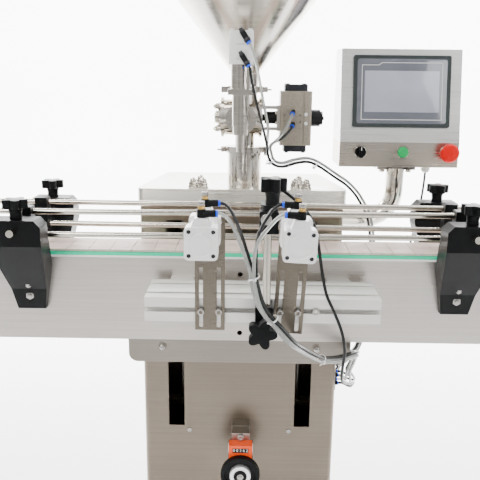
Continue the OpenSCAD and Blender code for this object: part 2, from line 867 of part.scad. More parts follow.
module side_plate(face, s) {
    h = plate_drop + plate_top;
    difference() {
        union() {
            translate([0, face + s * plate_t / 2, -(plate_drop - plate_top) / 2]) rotate([90, 0, 0])
                translate([0, 0, -plate_t / 2]) linear_extrude(plate_t) round_rect(2 * plate_half, h, 18);
            // inward foot flange
            box([-plate_half + 30, min(face, face + s * 16), -plate_drop],
                [plate_half - 30, max(face, face + s * 16), -plate_drop + plate_t]);
            for (x = [-wheel_x, wheel_x]) {
                along_y(62, x, wheel_z, min(face, face - s * flange_t), max(face, face - s * flange_t));
            }
        }
        for (x = [-wheel_x, wheel_x]) {
            along_y(wheel_shaft_d + 2 * run_c, x, wheel_z, face - 12, face + 12);
        }
        for (x = [-700, 0, 700], z = [-37, -146]) {
            along_y(9, x, z, face - 12, face + 12);
        }
    }
}

module side_plates() {
    color("silver") at_deck() {
        side_plate(near_face, 1);
        side_plate(far_face, -1);
        for (x = [-800, -560, -200, 200, 560, 800]) {
            along_y(16, x, wheel_z, near_face + plate_t - 1, far_face - plate_t + 1);
            along_y(10, x, -151, near_face + plate_t - 1, far_face - plate_t + 1);
        }
    }
}

module wear_strip(face, s) {
    y0 = face - s * 1.3;
    y1 = face + s * 12.2;
    difference() {
        box([-wheel_x, min(y0, y1), -9], [wheel_x, max(y0, y1), 0]);
        box([-wheel_x - 1, min(face - s * hole_c, face + s * (plate_t + hole_c)), -10],
            [wheel_x + 1, max(face - s * hole_c, face + s * (plate_t + hole_c)), plate_top + hole_c]);
    }
}

module wear_strips() {
    color("mediumspringgreen") at_deck() {
        wear_strip(near_face, 1);
        wear_strip(far_face, -1);
    }
}

// Joint i of the chain as [x, z, angle], counted from the left end of the top run
function joint_at(i) =
    let (n = top_links, m = wheel_teeth / 2, step = 360 / wheel_teeth)
    i <= n ? [-wheel_x + i * chain_pitch, pitch_z]
    : i < n + m ? [wheel_x + wheel_r * sin((i - n) * step), wheel_z + wheel_r * cos((i - n) * step)]
    : i <= 2 * n + m ? [wheel_x - (i - n - m) * chain_pitch, wheel_z - wheel_r]
    : [-wheel_x - wheel_r * sin((i - 2 * n - m) * step), wheel_z - wheel_r * cos((i - 2 * n - m) * step)];

module slat_chain() {
    count = 2 * top_links + wheel_teeth;
    color("mistyrose") at_deck() for (i = [0 : count - 1]) {
        a = joint_at(i);
        b = joint_at((i + 1) % count);
        angle = atan2(b[1] - a[1], b[0] - a[0]);
        translate([a[0], 0, a[1]]) rotate([0, -angle, 0]) {
            box([0.5, 0, pitch_drop], [chain_pitch - 0.5, belt_w, pitch_drop + belt_t]);
            box([2.5, belt_w / 2 - 13, -4], [chain_pitch - 2.5, belt_w / 2 + 13, pitch_drop + 1]);
            along_y(11, 0, 0, belt_w / 2 - 11, belt_w / 2 + 11);
        }
    }
}

// Chain wheel and shaft at the middle of the wheel, the shaft from y0 to y1
module chain_wheel(y0, y1) {
    tip_r = wheel_r * cos(180 / wheel_teeth) - 5;
    along_y(wheel_shaft_d, 0, 0, y0, y1);
    along_y(2 * tip_r - 14, 0, 0, belt_w / 2 - 10, belt_w / 2 + 10);
    for (k = [0 : wheel_teeth - 1]) {
        rotate([0, (k + 0.5) * 360 / wheel_teeth, 0]) {
            box([-5, belt_w / 2 - 9, tip_r - 14], [5, belt_w / 2 + 9, tip_r]);
        }
    }
}

module drive_wheel() {
    color("gray") at_deck() translate([wheel_x, 0, wheel_z])
        chain_wheel(near_face - flange_t - 3, far_face + flange_t + 50);
}

module idler_wheel() {
    color("gray") at_deck() translate([-wheel_x, 0, wheel_z])
        chain_wheel(near_face - flange_t - 3, far_face + flange_t + 3);
}

module drive_motor() {
    y0 = far_face + flange_t;
    color("steelblue") at_deck() difference() {
        union() {
            translate([wheel_x, y0, wheel_z]) rotate([-90, 0, 0]) linear_extrude(64) round_rect(90, 96, 10);
            along_y(82, wheel_x, wheel_z, y0 + 63, y0 + 190);
            for (i = [0 : 8]) {
                along_y(90, wheel_x, wheel_z, y0 + 74 + 12 * i, y0 + 78 + 12 * i);
            }
            along_y(88, wheel_x, wheel_z, y0 + 186, y0 + 214);
            box([wheel_x - 32, y0 + 90, wheel_z + 34], [wheel_x + 32, y0 + 160, wheel_z + 62]);
        }
        along_y(wheel_shaft_d + 2 * run_c, wheel_x, wheel_z, y0 - 1, y0 + 58);
    }
}

// ---------- guide rails ----------

function near_y(x) = -rail_near + near_slope * x;
function far_y(x) = rail_far + far_slope * x;
bracket_places = [-bracket_x + bracket_shift, bracket_x + bracket_shift];

module rail_rod(y, slope, z, d, half) {
    translate([0, y, z]) rotate([0, 0, atan(slope)]) along_x(d, -half, half, 0, 0);
}

module guide_rails() {
    color("gainsboro") at_deck() {
        for (z = [rail_low, rail_high]) {
            rail_rod(-rail_near, near_slope, z, rail_d, rail_half);
            rail_rod(rail_far, far_slope, z, rail_d, rail_half);
        }
        for (x = bracket_places) {
            along_y(cross_rod_d, x, rail_mid, -cross_reach, near_y(x) + 4);
            along_y(cross_rod_d, x, rail_mid, far_y(x) - 4, belt_w + cross_reach);
        }
    }
}

// Bracket on the near plate at x; the far one is its mirror image
module rail_bracket(x) {
    f = near_face;
    intersection() {
        translate([x - 60, 0, 0]) rotate([90, 0, 90]) linear_extrude(120) difference() {
            polygon([[f, -101], [f - 12, -101], [f - 22, -62], [-head_y - head_half, 28],
                [-head_y - head_half, head_top], [-head_y + head_half, head_top],
                [-head_y + head_half, head_low], [f, -24]]);
        }
        translate([x, 0, 0]) rotate([90, 0, 0]) linear_extrude(120)
            polygon([[-24, -102], [24, -102], [34, -40], [44, 28], [44, 60], [33, 72], [-33, 72], [-44, 60],
                [-44, 28], [-34, -40]]);
    }
}

module rail_clamp(x, y) {
    translate([x, y, 0]) box([-11, -11, rail_low - 9], [11, 11, rail_high + 9]);
}

module rail_brackets() {
    color("black") at_deck() difference() {
        union() {
            for (x = bracket_places) {
                rail_bracket(x);
                translate([0, belt_w, 0]) mirror([0, 1, 0]) rail_bracket(x);
                rail_clamp(x, near_y(x));
                rail_clamp(x, far_y(x));
            }
        }
        for (z = [rail_low, rail_high]) {
            rail_rod(-rail_near, near_slope, z, rail_d + hole_c, bracket_x + 60);
            rail_rod(rail_far, far_slope, z, rail_d + hole_c, bracket_x + 60);
        }
        for (x = bracket_places) {
            along_y(cross_rod_d + hole_c, x, rail_mid, -cross_reach - 1, near_y(x) + 4.2);
            along_y(cross_rod_d + hole_c, x, rail_mid, far_y(x) - 4.2, belt_w + cross_reach + 1);
            for (y = [-head_y, belt_w + head_y]) {
                upright(stud_d + hole_c, x, y, rail_mid, head_top + 1);
            }
        }
    }
}

module rail_knob(x, y) {
    color("black") at_deck() translate([x, y, head_top + gap]) star_knob(knob_d, 20, 17, 15, 10);
}
module rail_knob_near_left() { rail_knob(bracket_places[0], -head_y); }
module rail_knob_near_right() { rail_knob(bracket_places[1], -head_y); }
module rail_knob_far_left() { rail_knob(bracket_places[0], belt_w + head_y); }
module rail_knob_far_right() { rail_knob(bracket_places[1], belt_w + head_y); }

// ---------- bottle stops ----------

// T-slot at the outer face y = 0 of a profile, opening towards -Y
module t_slot() {
    translate([-4.1, -1]) square([8.2, 6]);
    translate([-8, 4]) square([16, 5]);
    translate([-4, 8]) square([8, 3]);
}

module stop_beam() {
    color("gainsboro") at_deck() {
        translate([beam_x - beam_len / 2, beam_y0, beam_top - beam_h]) rotate([90, 0, 90])
            linear_extrude(beam_len) difference() {
                square([beam_d, beam_h]);
                translate([0, beam_h / 2]) rotate(-90) t_slot();
                translate([beam_d, beam_h / 2]) rotate(90) t_slot();
                for (y = [24, 72]) {
                    translate([y, 0]) t_slot();
                    translate([y, beam_h]) rotate(180) t_slot();
                    translate([y, beam_h / 2]) circle(d = 6.8);
                }
            }
        for (x = [-100, 170]) {
            box([x - 20, beam_y0 + beam_d, beam_top - beam_h + 2], [x + 20, near_face, beam_top - 2]);
        }
        // cap screw left in the slot
        along_y(11, 121, beam_top - beam_h / 2, beam_y0 - 2, beam_y0 + 3);
    }
}

module stop_plate(x, stop) {
    z0 = beam_top - beam_h / 2;
    y1 = beam_y0;
    translate([0, 0, z0]) rotate([0, stop[2], 0]) translate([0, 0, -z0]) difference() {
        box([x - stop_plate_w / 2, y1 - stop_plate_t, -90.6], [x + stop_plate_w / 2, y1, 102]);
        for (s = [-1, 1]) {
            box([x + s * 14 - 3.2, y1 - stop_plate_t - 1, -85], [x + s * 14 + 3.2, y1 + 1, 12]);
            along_y(6.4, x + s * 14, -85, y1 - stop_plate_t - 1, y1 + 1);
        }
    }
}

module stop_plates() {
    z0 = beam_top - beam_h / 2;
    y0 = beam_y0 - stop_plate_t;
    color("dimgray") at_deck() difference() {
        union() {
            stop_plate(-46, left_stop);
            stop_plate(78, right_stop);
            for (x = [-60, -32, 64, 92]) {
                along_y(10, x, z0, y0 - 5, y0);
                along_y(5.8, x, z0, y0 - 1, beam_y0 + 4);
            }
        }
        for (s = [left_stop, right_stop]) {
            along_y(30 + hole_c, s[0], s[1], y0 - 1, beam_y0 + 1);
        }
    }
}

module cap_block(y0) {
    translate([0, y0 + cap_len, 0]) rotate([90, 0, 0]) linear_extrude(cap_len) round_rect(cap_side, cap_side, 6);
    // port block on top
    translate([0, y0 + cap_len - 3, 0]) rotate([90, 0, 0]) linear_extrude(cap_len - 6)
        polygon([[-14, cap_side / 2 - 1], [14, cap_side / 2 - 1], [9, port_z - 2], [-9, port_z - 2]]);
}

module stop_cylinder(stop) {
    translate([stop[0], 0, stop[1]]) rotate([0, stop[2], 0]) {
        difference() {
            union() {
                cap_block(cyl_back);
                cap_block(cyl_front - cap_len);
                translate([0, cyl_front - cap_len + 1, 0]) rotate([90, 0, 0]) linear_extrude(tube_len + 2)
                    round_rect(cap_side - 4, cap_side - 4, 12);
                along_y(30, 0, 0, cyl_front - 1, beam_y0 + 4);
            }
            along_y(stop_bore, 0, 0, cyl_back + 9, cyl_front - 9);
            along_y(stop_rod_d + 2 * slide_c, 0, 0, cyl_front - 10, beam_y0 + 5);
            for (sx = [-1, 1], sz = [-1, 1]) {
                along_y(6, sx * 16.25, sz * 16.25, cyl_back - 1, cyl_back + 8);
            }
            difference() {
                along_y(34, 0, 0, cyl_back - 1, cyl_back + 1.5);
                along_y(28, 0, 0, cyl_back - 2, cyl_back + 2);
            }
        }
        // lock nuts on the threaded neck
        difference() {
            translate([0, beam_y0 - stop_plate_t - 8, 0]) rotate([-90, 0, 0]) cylinder(d = 44, h = 8, $fn = 6);
            along_y(29.5, 0, 0, beam_y0 - 20, beam_y0);
        }
    }
}

module stop_cylinders() {
    color("gainsboro") at_deck() {
        stop_cylinder(left_stop);
        stop_cylinder(right_stop);
    }
}

// Speed controller on a port, its elbow towards side s
module speed_controller(stop, y, s) {
    translate([stop[0], y, stop[1]]) rotate([0, stop[2], 0]) {
        upright(12, 0, 0, port_z - 2, port_z + 9);
        upright(7.5, 0, 0, port_z + 8, port_z + 15);
        upright(9, 0, 0, port_z + 14, port_z + 19);
        translate([0, 0, port_z + 3]) rotate([0, s > 0 ? 90 : -90, 0]) cylinder(d = 10, h = 19);
    }
}

rear_port = cyl_back + cap_len / 2;
front_port = cyl_front - cap_len / 2;

module speed_controllers() {
    color("black") at_deck() for (y = [rear_port, front_port]) {
        speed_controller(left_stop, y, 1);
        speed_controller(right_stop, y, -1);
    }
}

module stop_rod(stop) {
    color("silver") at_deck() translate([stop[0], 0, stop[1]]) {
        along_y(stop_bore - 2 * slide_c, 0, 0, cyl_back + 20, cyl_back + 32);
        along_y(stop_rod_d, 0, 0, cyl_back + 30, -75);
        along_y(stop_pin_d, 0, 0, -76, -24);
    }
}
module stop_rod_left() { stop_rod(left_stop); }
module stop_rod_right() { stop_rod(right_stop); }

// ---------- bottle sensor ----------

module sensor_mount() {
    color("black") at_deck() {
        difference() {
            union() {
                // lower cross clamp on the beam
                box([sensor_x - 17, sensor_y - 15, -84], [sensor_x + 10, beam_y0, -42]);
                // upper clamp with a round top
                box([sensor_x - 13, sensor_y - 14, 73], [sensor_x + 15, sensor_y + 14, 106]);
                upright(24, sensor_x + 3, sensor_y, 105, 115);
            }
            upright(12 + hole_c, sensor_x, sensor_y, -90, 92);
            upright(stud_d + hole_c, sensor_x + 6, sensor_y, 98, 120);
            along_y(stud_d + hole_c, sensor_x - 7, -73, sensor_y - 16, sensor_y - 8);
        }
        upright(12, sensor_x, sensor_y, -112, 91);
        // photoelectric head behind the clamp
        box([sensor_x - 10, sensor_y + 14, 78], [sensor_x + 14, sensor_y + 50, 112]);
        along_y(14, sensor_x + 2, 95, sensor_y + 49, sensor_y + 53);
        upright(8, sensor_x + 8, sensor_y + 30, 111, 120);
    }
}

module sensor_knob_upper() {
    color("black") at_deck() translate([sensor_x + 6, sensor_y, 115 + gap]) star_knob(knob_d, 21, 20, 20, 12);
}

module sensor_knob_lower() {
    color("black") at_deck() translate([sensor_x - 7, sensor_y - 15 - gap, -73]) rotate([90, 0, 0])
        star_knob(50, 22, 17, 18, 6);
}

// ---------- lines ----------

// Common course of the four lines from the head to the cabinet, and of the four from the stops
head_trunk = [[46, 108, 176], [48, 112, 160], [54, 117, 146], [66, 122, 138], [82, 129, 137], [104, 141, 142],
    [128, 149, 143], [150, 154, 133], [181, 163, 112], [207, 172, 94], [232, 186, 66], [256, 198, 20],
    [268, 206, -50], [272, 210, -130], [262, 214, -210], [246, 218, -270]];
front_trunk = [[18, -238, 42], [22, -231, 18], [31, -223, -10], [42, -217, -30], [58, -208, -52],
    [78, -186, -84], [97, -146, -112], [117, -112, -136], [138, -82, -156], [168, -52, -168], [190, -30, -172],
    [207, -6, -178], [213, 40, -200], [216, 90, -240], [216, 124, -272]];

// Straight lead out of a fitting or into a union
function lead(i) = elbow_tip(i) + 6 * unit(elbow_tip(i) - elbow_mids[i]);
function front_end(i) = [entry(i) + [14 + 12 * floor(i / 2), -22, 1], entry(i) + [9, 0, 0], entry(i)];
function head_end(i) = [entry(i) + [14, 0, 16], entry(i) + [9, 0, 0], entry(i)];
side_up = [0, 1, 0];
over_up = [0, 0, 1];

nozzle_black = concat([elbow_tip(1), lead(1), [16, 6, 290], [29, 36, 238], [40, 78, 200]],
    beside(head_trunk, 0, 0, side_up), head_end(7));
nozzle_clear = concat([elbow_tip(0), lead(0), [24, 6, 312], [37, 40, 252], [46, 84, 212]],
    beside(head_trunk, 0, 6.8, side_up), head_end(9));
actuator_clear = concat([elbow_tip(2), lead(2), [85, 129, 217], [72, 118, 196]],
    beside(head_trunk, 6.8, 0, side_up), head_end(6));
actuator_black = concat([elbow_tip(3), lead(3), [85, 131, 200], [71, 124, 188]],
    beside(head_trunk, 6.8, 6.8, side_up), head_end(8));

// Tips of the stops' speed controllers, at y = 0
left_tip = [left_stop[0] + 19, 0, left_stop[1] + port_z + 3];
right_tip = [right_stop[0] - 17.6, 0, right_stop[1] + port_z + 3.8];
left_black = concat([left_tip + [0, front_port, 0], left_tip + [6, front_port, 0], [-12, -200, 115],
    [4, -226, 84]], beside(front_trunk, 0, 0, over_up), front_end(3));
left_clear = concat([left_tip + [0, rear_port, 0], left_tip + [6, rear_port, 0], [-12, -256, 112],
    [2, -252, 80]], beside(front_trunk, 0, -6.5, over_up), front_end(1));
right_black = concat([right_tip + [0, front_port, 0], right_tip + [-6, front_port, 0], [44, -200, 114],
    [26, -226, 84]], beside(front_trunk, 6.5, 0, over_up), front_end(4));
right_clear = concat([right_tip + [0, rear_port, 0], right_tip + [-6, rear_port, 0], [44, -258, 110],
    [24, -256, 80]], beside(front_trunk, 6.5, -6.5, over_up), front_end(2));
sensor_line = [[50, -117, 120], [50, -117, 126], [60, -120, 133], [74, -126, 126], [98, -140, 106], [112, -150, 82],
    [119, -152, 50], [126, -150, 10], [134, -150, -24], [146, -150, -50], [160, -150, -84], [166, -150, -116],
    [165, -144, -146], [168, -124, -176], [182, -80, -204], [204, -20, -232], [220, 60, -270], [226, 130, -312],
    entry(0) + [10, 0, 0], entry(0)];
control_line = [[391, 300, box_z - 9], [391, 300, 96], [387, 298, 50], [378, 294, 0], [362, 286, -70],
    [330, 276, -160], [288, 272, -240], [248, 270, -300], [226, 267, -322], entry(10) + [9, 0, 0], entry(10)];

module line(points, d, tint) {
    color(tint) at_deck() swept_tube(smooth(points, line_steps), d);
}
module tube_nozzle_black() { line(nozzle_black, tube_d, "black"); }
module tube_nozzle_clear() { line(nozzle_clear, tube_d, "white"); }
module tube_actuator_black() { line(actuator_black, tube_d, "black"); }
module tube_actuator_clear() { line(actuator_clear, tube_d, "white"); }
module tube_left_black() { line(left_black, tube_d, "black"); }
module tube_left_clear() { line(left_clear, tube_d, "white"); }
module tube_right_black() { line(right_black, tube_d, "black"); }
module tube_right_clear() { line(right_clear, tube_d, "white"); }
module cable_sensor() { line(sensor_line, cable_d, "black"); }
module cable_control() { line(control_line, cable_d, "black"); }

base_frame();
cabinet_shell();
top_tray();
product_cylinder();
drive_cylinder();
piston();
pipe_work();
valve_body();
valve_rotor();
actuator_body();
hopper();
hopper_lid();
nozzle_body();
nozzle_cylinder();
nozzle_rod();
air_fittings();
control_post();
control_box();
touch_panel();
button_bezels();
selector_knob();
start_button();
stop_button();
lift_frame();
lift_screw();
position_counter();
handwheel();
rear_door();
side_plates();
wear_strips();
slat_chain();
support_tray();
stop_beam();
stop_plates();
stop_cylinders();
speed_controllers();
stop_rod_left();
stop_rod_right();
sensor_mount();
sensor_knob_upper();
sensor_knob_lower();
guide_rails();
rail_brackets();
rail_knob_near_left();
rail_knob_near_right();
rail_knob_far_left();
rail_knob_far_right();
drive_motor();
drive_wheel();
idler_wheel();
tube_nozzle_black();
tube_nozzle_clear();
tube_actuator_black();
tube_actuator_clear();
tube_left_black();
tube_left_clear();
tube_right_black();
tube_right_clear();
cable_sensor();
cable_control();
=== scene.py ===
# %% [markdown]
# # A piston liquid filler
# The engineering model holds every part that has a size or a motion. This script loads it,
# gives each part its finish, and adds what a drawing leaves out: screws, coloured rings,
# cable ties, bent tubes, glass. Work goes from the camera to the cords, then the finishes,
# then the small pieces, and ends with the studio.

import math

import bmesh
import bpy
from mathutils import Matrix, Vector


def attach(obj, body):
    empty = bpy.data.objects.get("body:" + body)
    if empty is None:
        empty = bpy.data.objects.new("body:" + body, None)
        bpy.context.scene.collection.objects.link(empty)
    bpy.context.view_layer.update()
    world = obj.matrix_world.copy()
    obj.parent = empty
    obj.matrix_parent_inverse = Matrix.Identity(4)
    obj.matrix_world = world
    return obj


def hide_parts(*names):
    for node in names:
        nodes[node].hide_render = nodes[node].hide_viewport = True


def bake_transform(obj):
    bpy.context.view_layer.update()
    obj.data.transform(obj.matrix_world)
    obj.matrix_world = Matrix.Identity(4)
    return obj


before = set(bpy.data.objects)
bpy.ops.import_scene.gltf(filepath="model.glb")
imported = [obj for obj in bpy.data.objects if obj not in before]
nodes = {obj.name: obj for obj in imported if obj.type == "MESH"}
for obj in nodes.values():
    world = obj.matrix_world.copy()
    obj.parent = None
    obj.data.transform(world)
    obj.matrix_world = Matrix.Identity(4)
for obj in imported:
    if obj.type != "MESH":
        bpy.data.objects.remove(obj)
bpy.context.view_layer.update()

# %% [markdown]
# The machine is measured in millimetres from one place: x from its middle, y back from the
# conveyor's front edge, z up from the deck that the chain slides on. One matrix takes such a
# point to metres in the shared frame, so every size below can be read like a drawing. Places
# that come back are named here: the filling head's axis, the valve's height, the bottle
# stops (x, z and lean in degrees), the rail brackets and the buttons.

# %% Measures
BELT_Y = -67.7
DECK_Z = 860.0
TO_FRAME = Matrix.Scale(0.001, 4) @ Matrix.Translation((0, BELT_Y, DECK_Z))
HEAD_X, HEAD_Y = 4, 190
VALVE_Z = 224
CABINET_Y = 155
STOPS = ((-50, 84, 0), (81, 82.5, 2.7))
HAND_X = {"left": -366, "right": 376}
BUTTON_Y, BUTTON_Z = 272, 152
SELECTOR_X, START_X, STOP_X = 244.5, 333, 426


def at(x, y, z):
    return TO_FRAME @ Vector((x, y, z))


print("deck corner", at(0, 0, 0))

# %% [markdown]
# ## Camera
# A product photographer stands a little over a metre away, slightly above the chain, and tips
# the camera down. Three turns make that view: a small yaw, the tip, and the roll of a
# tripod that isn't quite level.

# %% Camera
LENS_MM, SENSOR_MM = 49.37, 36
YAW, TIP, ROLL = 0.541, 13.708, 0.659
STAND = (9.4, -1110.5, 295.3)
camera_data = bpy.data.cameras.new("camera")
camera_data.lens = LENS_MM
camera_data.sensor_width = SENSOR_MM
camera = bpy.data.objects.new("camera", camera_data)
bpy.context.scene.collection.objects.link(camera)
yaw = Matrix.Rotation(math.radians(YAW), 4, "Z")
tip = Matrix.Rotation(math.radians(90 - TIP), 4, "X")
roll = Matrix.Rotation(math.radians(ROLL), 4, "Z")
camera.matrix_world = Matrix.Translation(at(*STAND)) @ yaw @ tip @ roll
bpy.context.scene.camera = camera
print("camera at", [round(v, 3) for v in camera.matrix_world.translation])

# %% [markdown]
# ## Air tubes and cables
# A polyurethane tube keeps a gentle curve between two fittings and leaves each one straight.
# Only a few points of its course are chosen; a smooth curve joins them. Tubes that run in a
# bundle share one course and stand beside it by a fixed distance, worked out across the
# course, so they never cut into each other.

# %% Course helpers
def unit(v):
    return v / v.length


def tangent(points, i):
    return unit(points[min(i + 1, len(points) - 1)] - points[max(i - 1, 0)])


def beside(points, aside, over, up):
    moved = []
    for i, p in enumerate(points):
        t = tangent(points, i)
        s = unit(t.cross(Vector(up)))
        moved.append(p + aside * s + over * s.cross(t))
    return moved


def curve_at(a, b, c, d, u):
    return 0.5 * (2 * b + (c - a) * u + (2 * a - 5 * b + 4 * c - d) * u * u
                  + (3 * b - a - 3 * c + d) * u * u * u)


def smooth(points, steps):
    n = len(points) - 2
    inner = [curve_at(*points[i - 1:i + 3], k / steps) for i in range(1, n) for k in range(steps)]
    return [points[0], *inner, *points[n:]]


def route(*points):
    return [Vector(p) for p in points]


print("course helpers ready")

# %% [markdown]
# The two bundles: one from the valve and nozzle down behind the conveyor, one from the two
# bottle stops under the conveyor. Both end at a plate of bulkhead unions on the cabinet's
# side, so the ends are worked out from the unions.

# %% Courses
HEAD = route((46, 108, 176), (48, 112, 160), (54, 117, 146), (66, 122, 138), (82, 129, 137),
             (104, 141, 142), (128, 149, 143), (150, 154, 133), (181, 163, 112), (207, 172, 94),
             (232, 186, 66), (256, 198, 20), (268, 206, -50), (272, 210, -130), (262, 214, -210),
             (246, 218, -270))
FRONT = route((18, -238, 42), (22, -231, 18), (31, -223, -10), (42, -217, -30), (58, -208, -52),
              (78, -186, -84), (97, -146, -112), (117, -112, -136), (138, -82, -156),
              (168, -52, -168), (190, -30, -172), (207, -6, -178), (213, 40, -200),
              (216, 90, -240), (216, 124, -272))
SIDE, OVER = (0, 1, 0), (0, 0, 1)
HEAD_GAP, FRONT_GAP = 6.8, 6.5
UNION_X, UNION_Y, UNION_Z, UNION_STEP = 206, 174, -326, 18


def union(i):
    return Vector((UNION_X, UNION_Y + UNION_STEP * (i // 2), UNION_Z + UNION_STEP * (i % 2)))


def front_end(i):
    u = union(i)
    return [u + Vector((14 + 12 * (i // 2), -22, 1)), u + Vector((9, 0, 0)), u]


def head_end(i):
    u = union(i)
    return [u + Vector((14, 0, 16)), u + Vector((9, 0, 0)), u]


ELBOWS = [((0, 11, 369), (9, -4, -14)), ((0, 11, 332), (9, -4, -14)),
          ((95, 152, 237), (-2, -9, -3)), ((95, 152, 214), (-2, -9, -3))]


def out_of(i):
    mid, run = Vector(ELBOWS[i][0]), Vector(ELBOWS[i][1])
    return [mid + run, mid + run + 6 * unit(run)]


LEFT, RIGHT = Vector((-31, 0, 123)), Vector((63.4, 0, 122.3))
REAR_PORT, FRONT_PORT = -259.1, -184.1
PORT_LEAD = 6


def from_stop(tip_point, port, lead):
    start = tip_point + Vector((0, port, 0))
    return [start, start + Vector((lead, 0, 0))]


COURSES = {
    "tube_nozzle_black": out_of(1) + route((16, 6, 290), (29, 36, 238), (40, 78, 200))
    + beside(HEAD, 0, 0, SIDE) + head_end(7),
    "tube_nozzle_clear": out_of(0) + route((24, 6, 312), (37, 40, 252), (46, 84, 212))
    + beside(HEAD, 0, HEAD_GAP, SIDE) + head_end(9),
    "tube_actuator_clear": out_of(2) + route((85, 129, 217), (72, 118, 196))
    + beside(HEAD, HEAD_GAP, 0, SIDE) + head_end(6),
    "tube_actuator_black": out_of(3) + route((85, 131, 200), (71, 124, 188))
    + beside(HEAD, HEAD_GAP, HEAD_GAP, SIDE) + head_end(8),
    "tube_left_black": from_stop(LEFT, FRONT_PORT, PORT_LEAD)
    + route((-12, -200, 115), (4, -226, 84))
    + beside(FRONT, 0, 0, OVER) + front_end(3),
    "tube_left_clear": from_stop(LEFT, REAR_PORT, PORT_LEAD)
    + route((-12, -256, 112), (2, -252, 80))
    + beside(FRONT, 0, -FRONT_GAP, OVER) + front_end(1),
    "tube_right_black": from_stop(RIGHT, FRONT_PORT, -PORT_LEAD)
    + route((44, -200, 114), (26, -226, 84))
    + beside(FRONT, FRONT_GAP, 0, OVER) + front_end(4),
    "tube_right_clear": from_stop(RIGHT, REAR_PORT, -PORT_LEAD)
    + route((44, -258, 110), (24, -256, 80))
    + beside(FRONT, FRONT_GAP, -FRONT_GAP, OVER) + front_end(2),
    "cable_sensor": route((50, -117, 120), (50, -117, 126), (60, -120, 133), (74, -126, 126),
                          (98, -140, 106), (112, -150, 82), (119, -152, 50), (126, -150, 10),
                          (134, -150, -24), (146, -150, -50), (160, -150, -84), (166, -150, -116),
                          (165, -144, -146), (168, -124, -176), (182, -80, -204), (204, -20, -232),
                          (220, 60, -270), (226, 130, -312))
    + [union(0) + Vector((10, 0, 0)), union(0)],
    "cable_control": route((391, 300, 111), (391, 300, 96), (387, 298, 50), (378, 294, 0),
                           (362, 286, -70), (330, 276, -160), (288, 272, -240), (248, 270, -300),
                           (226, 267, -322)) + [union(10) + Vector((9, 0, 0)), union(10)],
}
print("courses", {k: len(v) for k, v in COURSES.items()})

# %% [markdown]
# A curve with a round bevel is the quickest way to a tube. Here it is turned into a mesh at
# once. The tubes of the stops and the sensor's cable would have to bend when the conveyor is
# raised, and only a mesh can follow two bodies; here their place is baked in and they ride on
# no body, while the other cords ride on the machine.

# %% Tubes
TUBE_D = 5.0
STEPS = 6
cords = {}
for name, course in COURSES.items():
    line = [TO_FRAME @ p for p in smooth(course, STEPS)]
    curve = bpy.data.curves.new(name + "_line", "CURVE")
    curve.dimensions = "3D"
    curve.bevel_depth = TUBE_D / 2000
    curve.bevel_resolution = 4
    curve.use_fill_caps = True
    spline = curve.splines.new("POLY")
    spline.points.add(len(line) - 1)
    for point, place in zip(spline.points, line):
        point.co = (*place, 1)
    drawn = bpy.data.objects.new(name + "_drawn", curve)
    bpy.context.scene.collection.objects.link(drawn)
    bpy.context.view_layer.update()
    tube_mesh = bpy.data.meshes.new_from_object(
        drawn.evaluated_get(bpy.context.evaluated_depsgraph_get()))
    bpy.data.objects.remove(drawn)
    tube = bpy.data.objects.new(name + "_line", tube_mesh)
    bpy.context.scene.collection.objects.link(tube)
    for face in tube_mesh.polygons:
        face.use_smooth = True
    moves = name.startswith(("tube_left", "tube_right", "cable_sensor"))
    if moves:
        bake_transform(tube)
    else:
        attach(tube, "machine")
    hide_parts(name)
    cords[name] = tube

# %% [markdown]
# ## Making finishes
# A finish is a few layers on one shader: a colour that varies a little, a roughness that varies
# with it, and a fine relief. The helpers below lay each of them from object coordinates, which
# stay put on the part. A bevel node rounds sharp edges in the light only, so the true
# shape is kept. The mix node has its two colours and its result at the numbers A, B, RESULT.

# %% Finish helpers
def begin(name, colour, metallic, roughness, **sockets):
    made = bpy.data.materials.new(name)
    made.use_nodes = True
    shader = made.node_tree.nodes["Principled BSDF"]
    shader.inputs["Base Color"].default_value = (*colour, 1)
    shader.inputs["Metallic"].default_value = metallic
    shader.inputs["Roughness"].default_value = roughness
    for key, value in sockets.items():
        shader.inputs[key.replace("_", " ")].default_value = value
    made.diffuse_color = (*colour, 1)
    return made, shader


def lay(made, kind, inputs=None, **settings):
    node = made.node_tree.nodes.new(kind)
    for key, value in settings.items():
        setattr(node, key, value)
    for key, value in (inputs or {}).items():
        if isinstance(value, bpy.types.NodeSocket):
            made.node_tree.links.new(value, node.inputs[key])
        else:
            node.inputs[key].default_value = value
    return node


def grain(made, stretch, detail=3.0, rough=0.55, distortion=0.0):
    """Noise on object coordinates, counts per metre along x, y and z."""
    place = lay(made, "ShaderNodeTexCoord").outputs["Object"]
    spread = lay(made, "ShaderNodeMapping", {"Vector": place, "Scale": stretch}).outputs[0]
    noise = lay(made, "ShaderNodeTexNoise", {"Vector": spread, "Scale": 1.0, "Detail": detail,
                                              "Roughness": rough, "Distortion": distortion})
    return noise.outputs["Fac"]


def between(made, value, low, high, start=0.3, stop=0.7):
    ranged = lay(made, "ShaderNodeMapRange", {"Value": value, "From Min": start, "From Max": stop,
                                              "To Min": low, "To Max": high})
    return ranged.outputs[0]


def tint(made, value, dark, light, start=0.3, stop=0.7):
    ramp = lay(made, "ShaderNodeValToRGB", {"Fac": value})
    ramp.color_ramp.elements[0].position = start
    ramp.color_ramp.elements[0].color = (*dark, 1)
    ramp.color_ramp.elements[1].position = stop
    ramp.color_ramp.elements[1].color = (*light, 1)
    return ramp.outputs[0]


def relief(made, shader, value, depth, strength=1.0, edge=0.0):
    inputs = {"Height": value, "Distance": depth, "Strength": strength}
    if edge:
        inputs["Normal"] = lay(made, "ShaderNodeBevel", {"Radius": edge}, samples=4).outputs[0]
    bump = lay(made, "ShaderNodeBump", inputs)
    made.node_tree.links.new(bump.outputs[0], shader.inputs["Normal"])


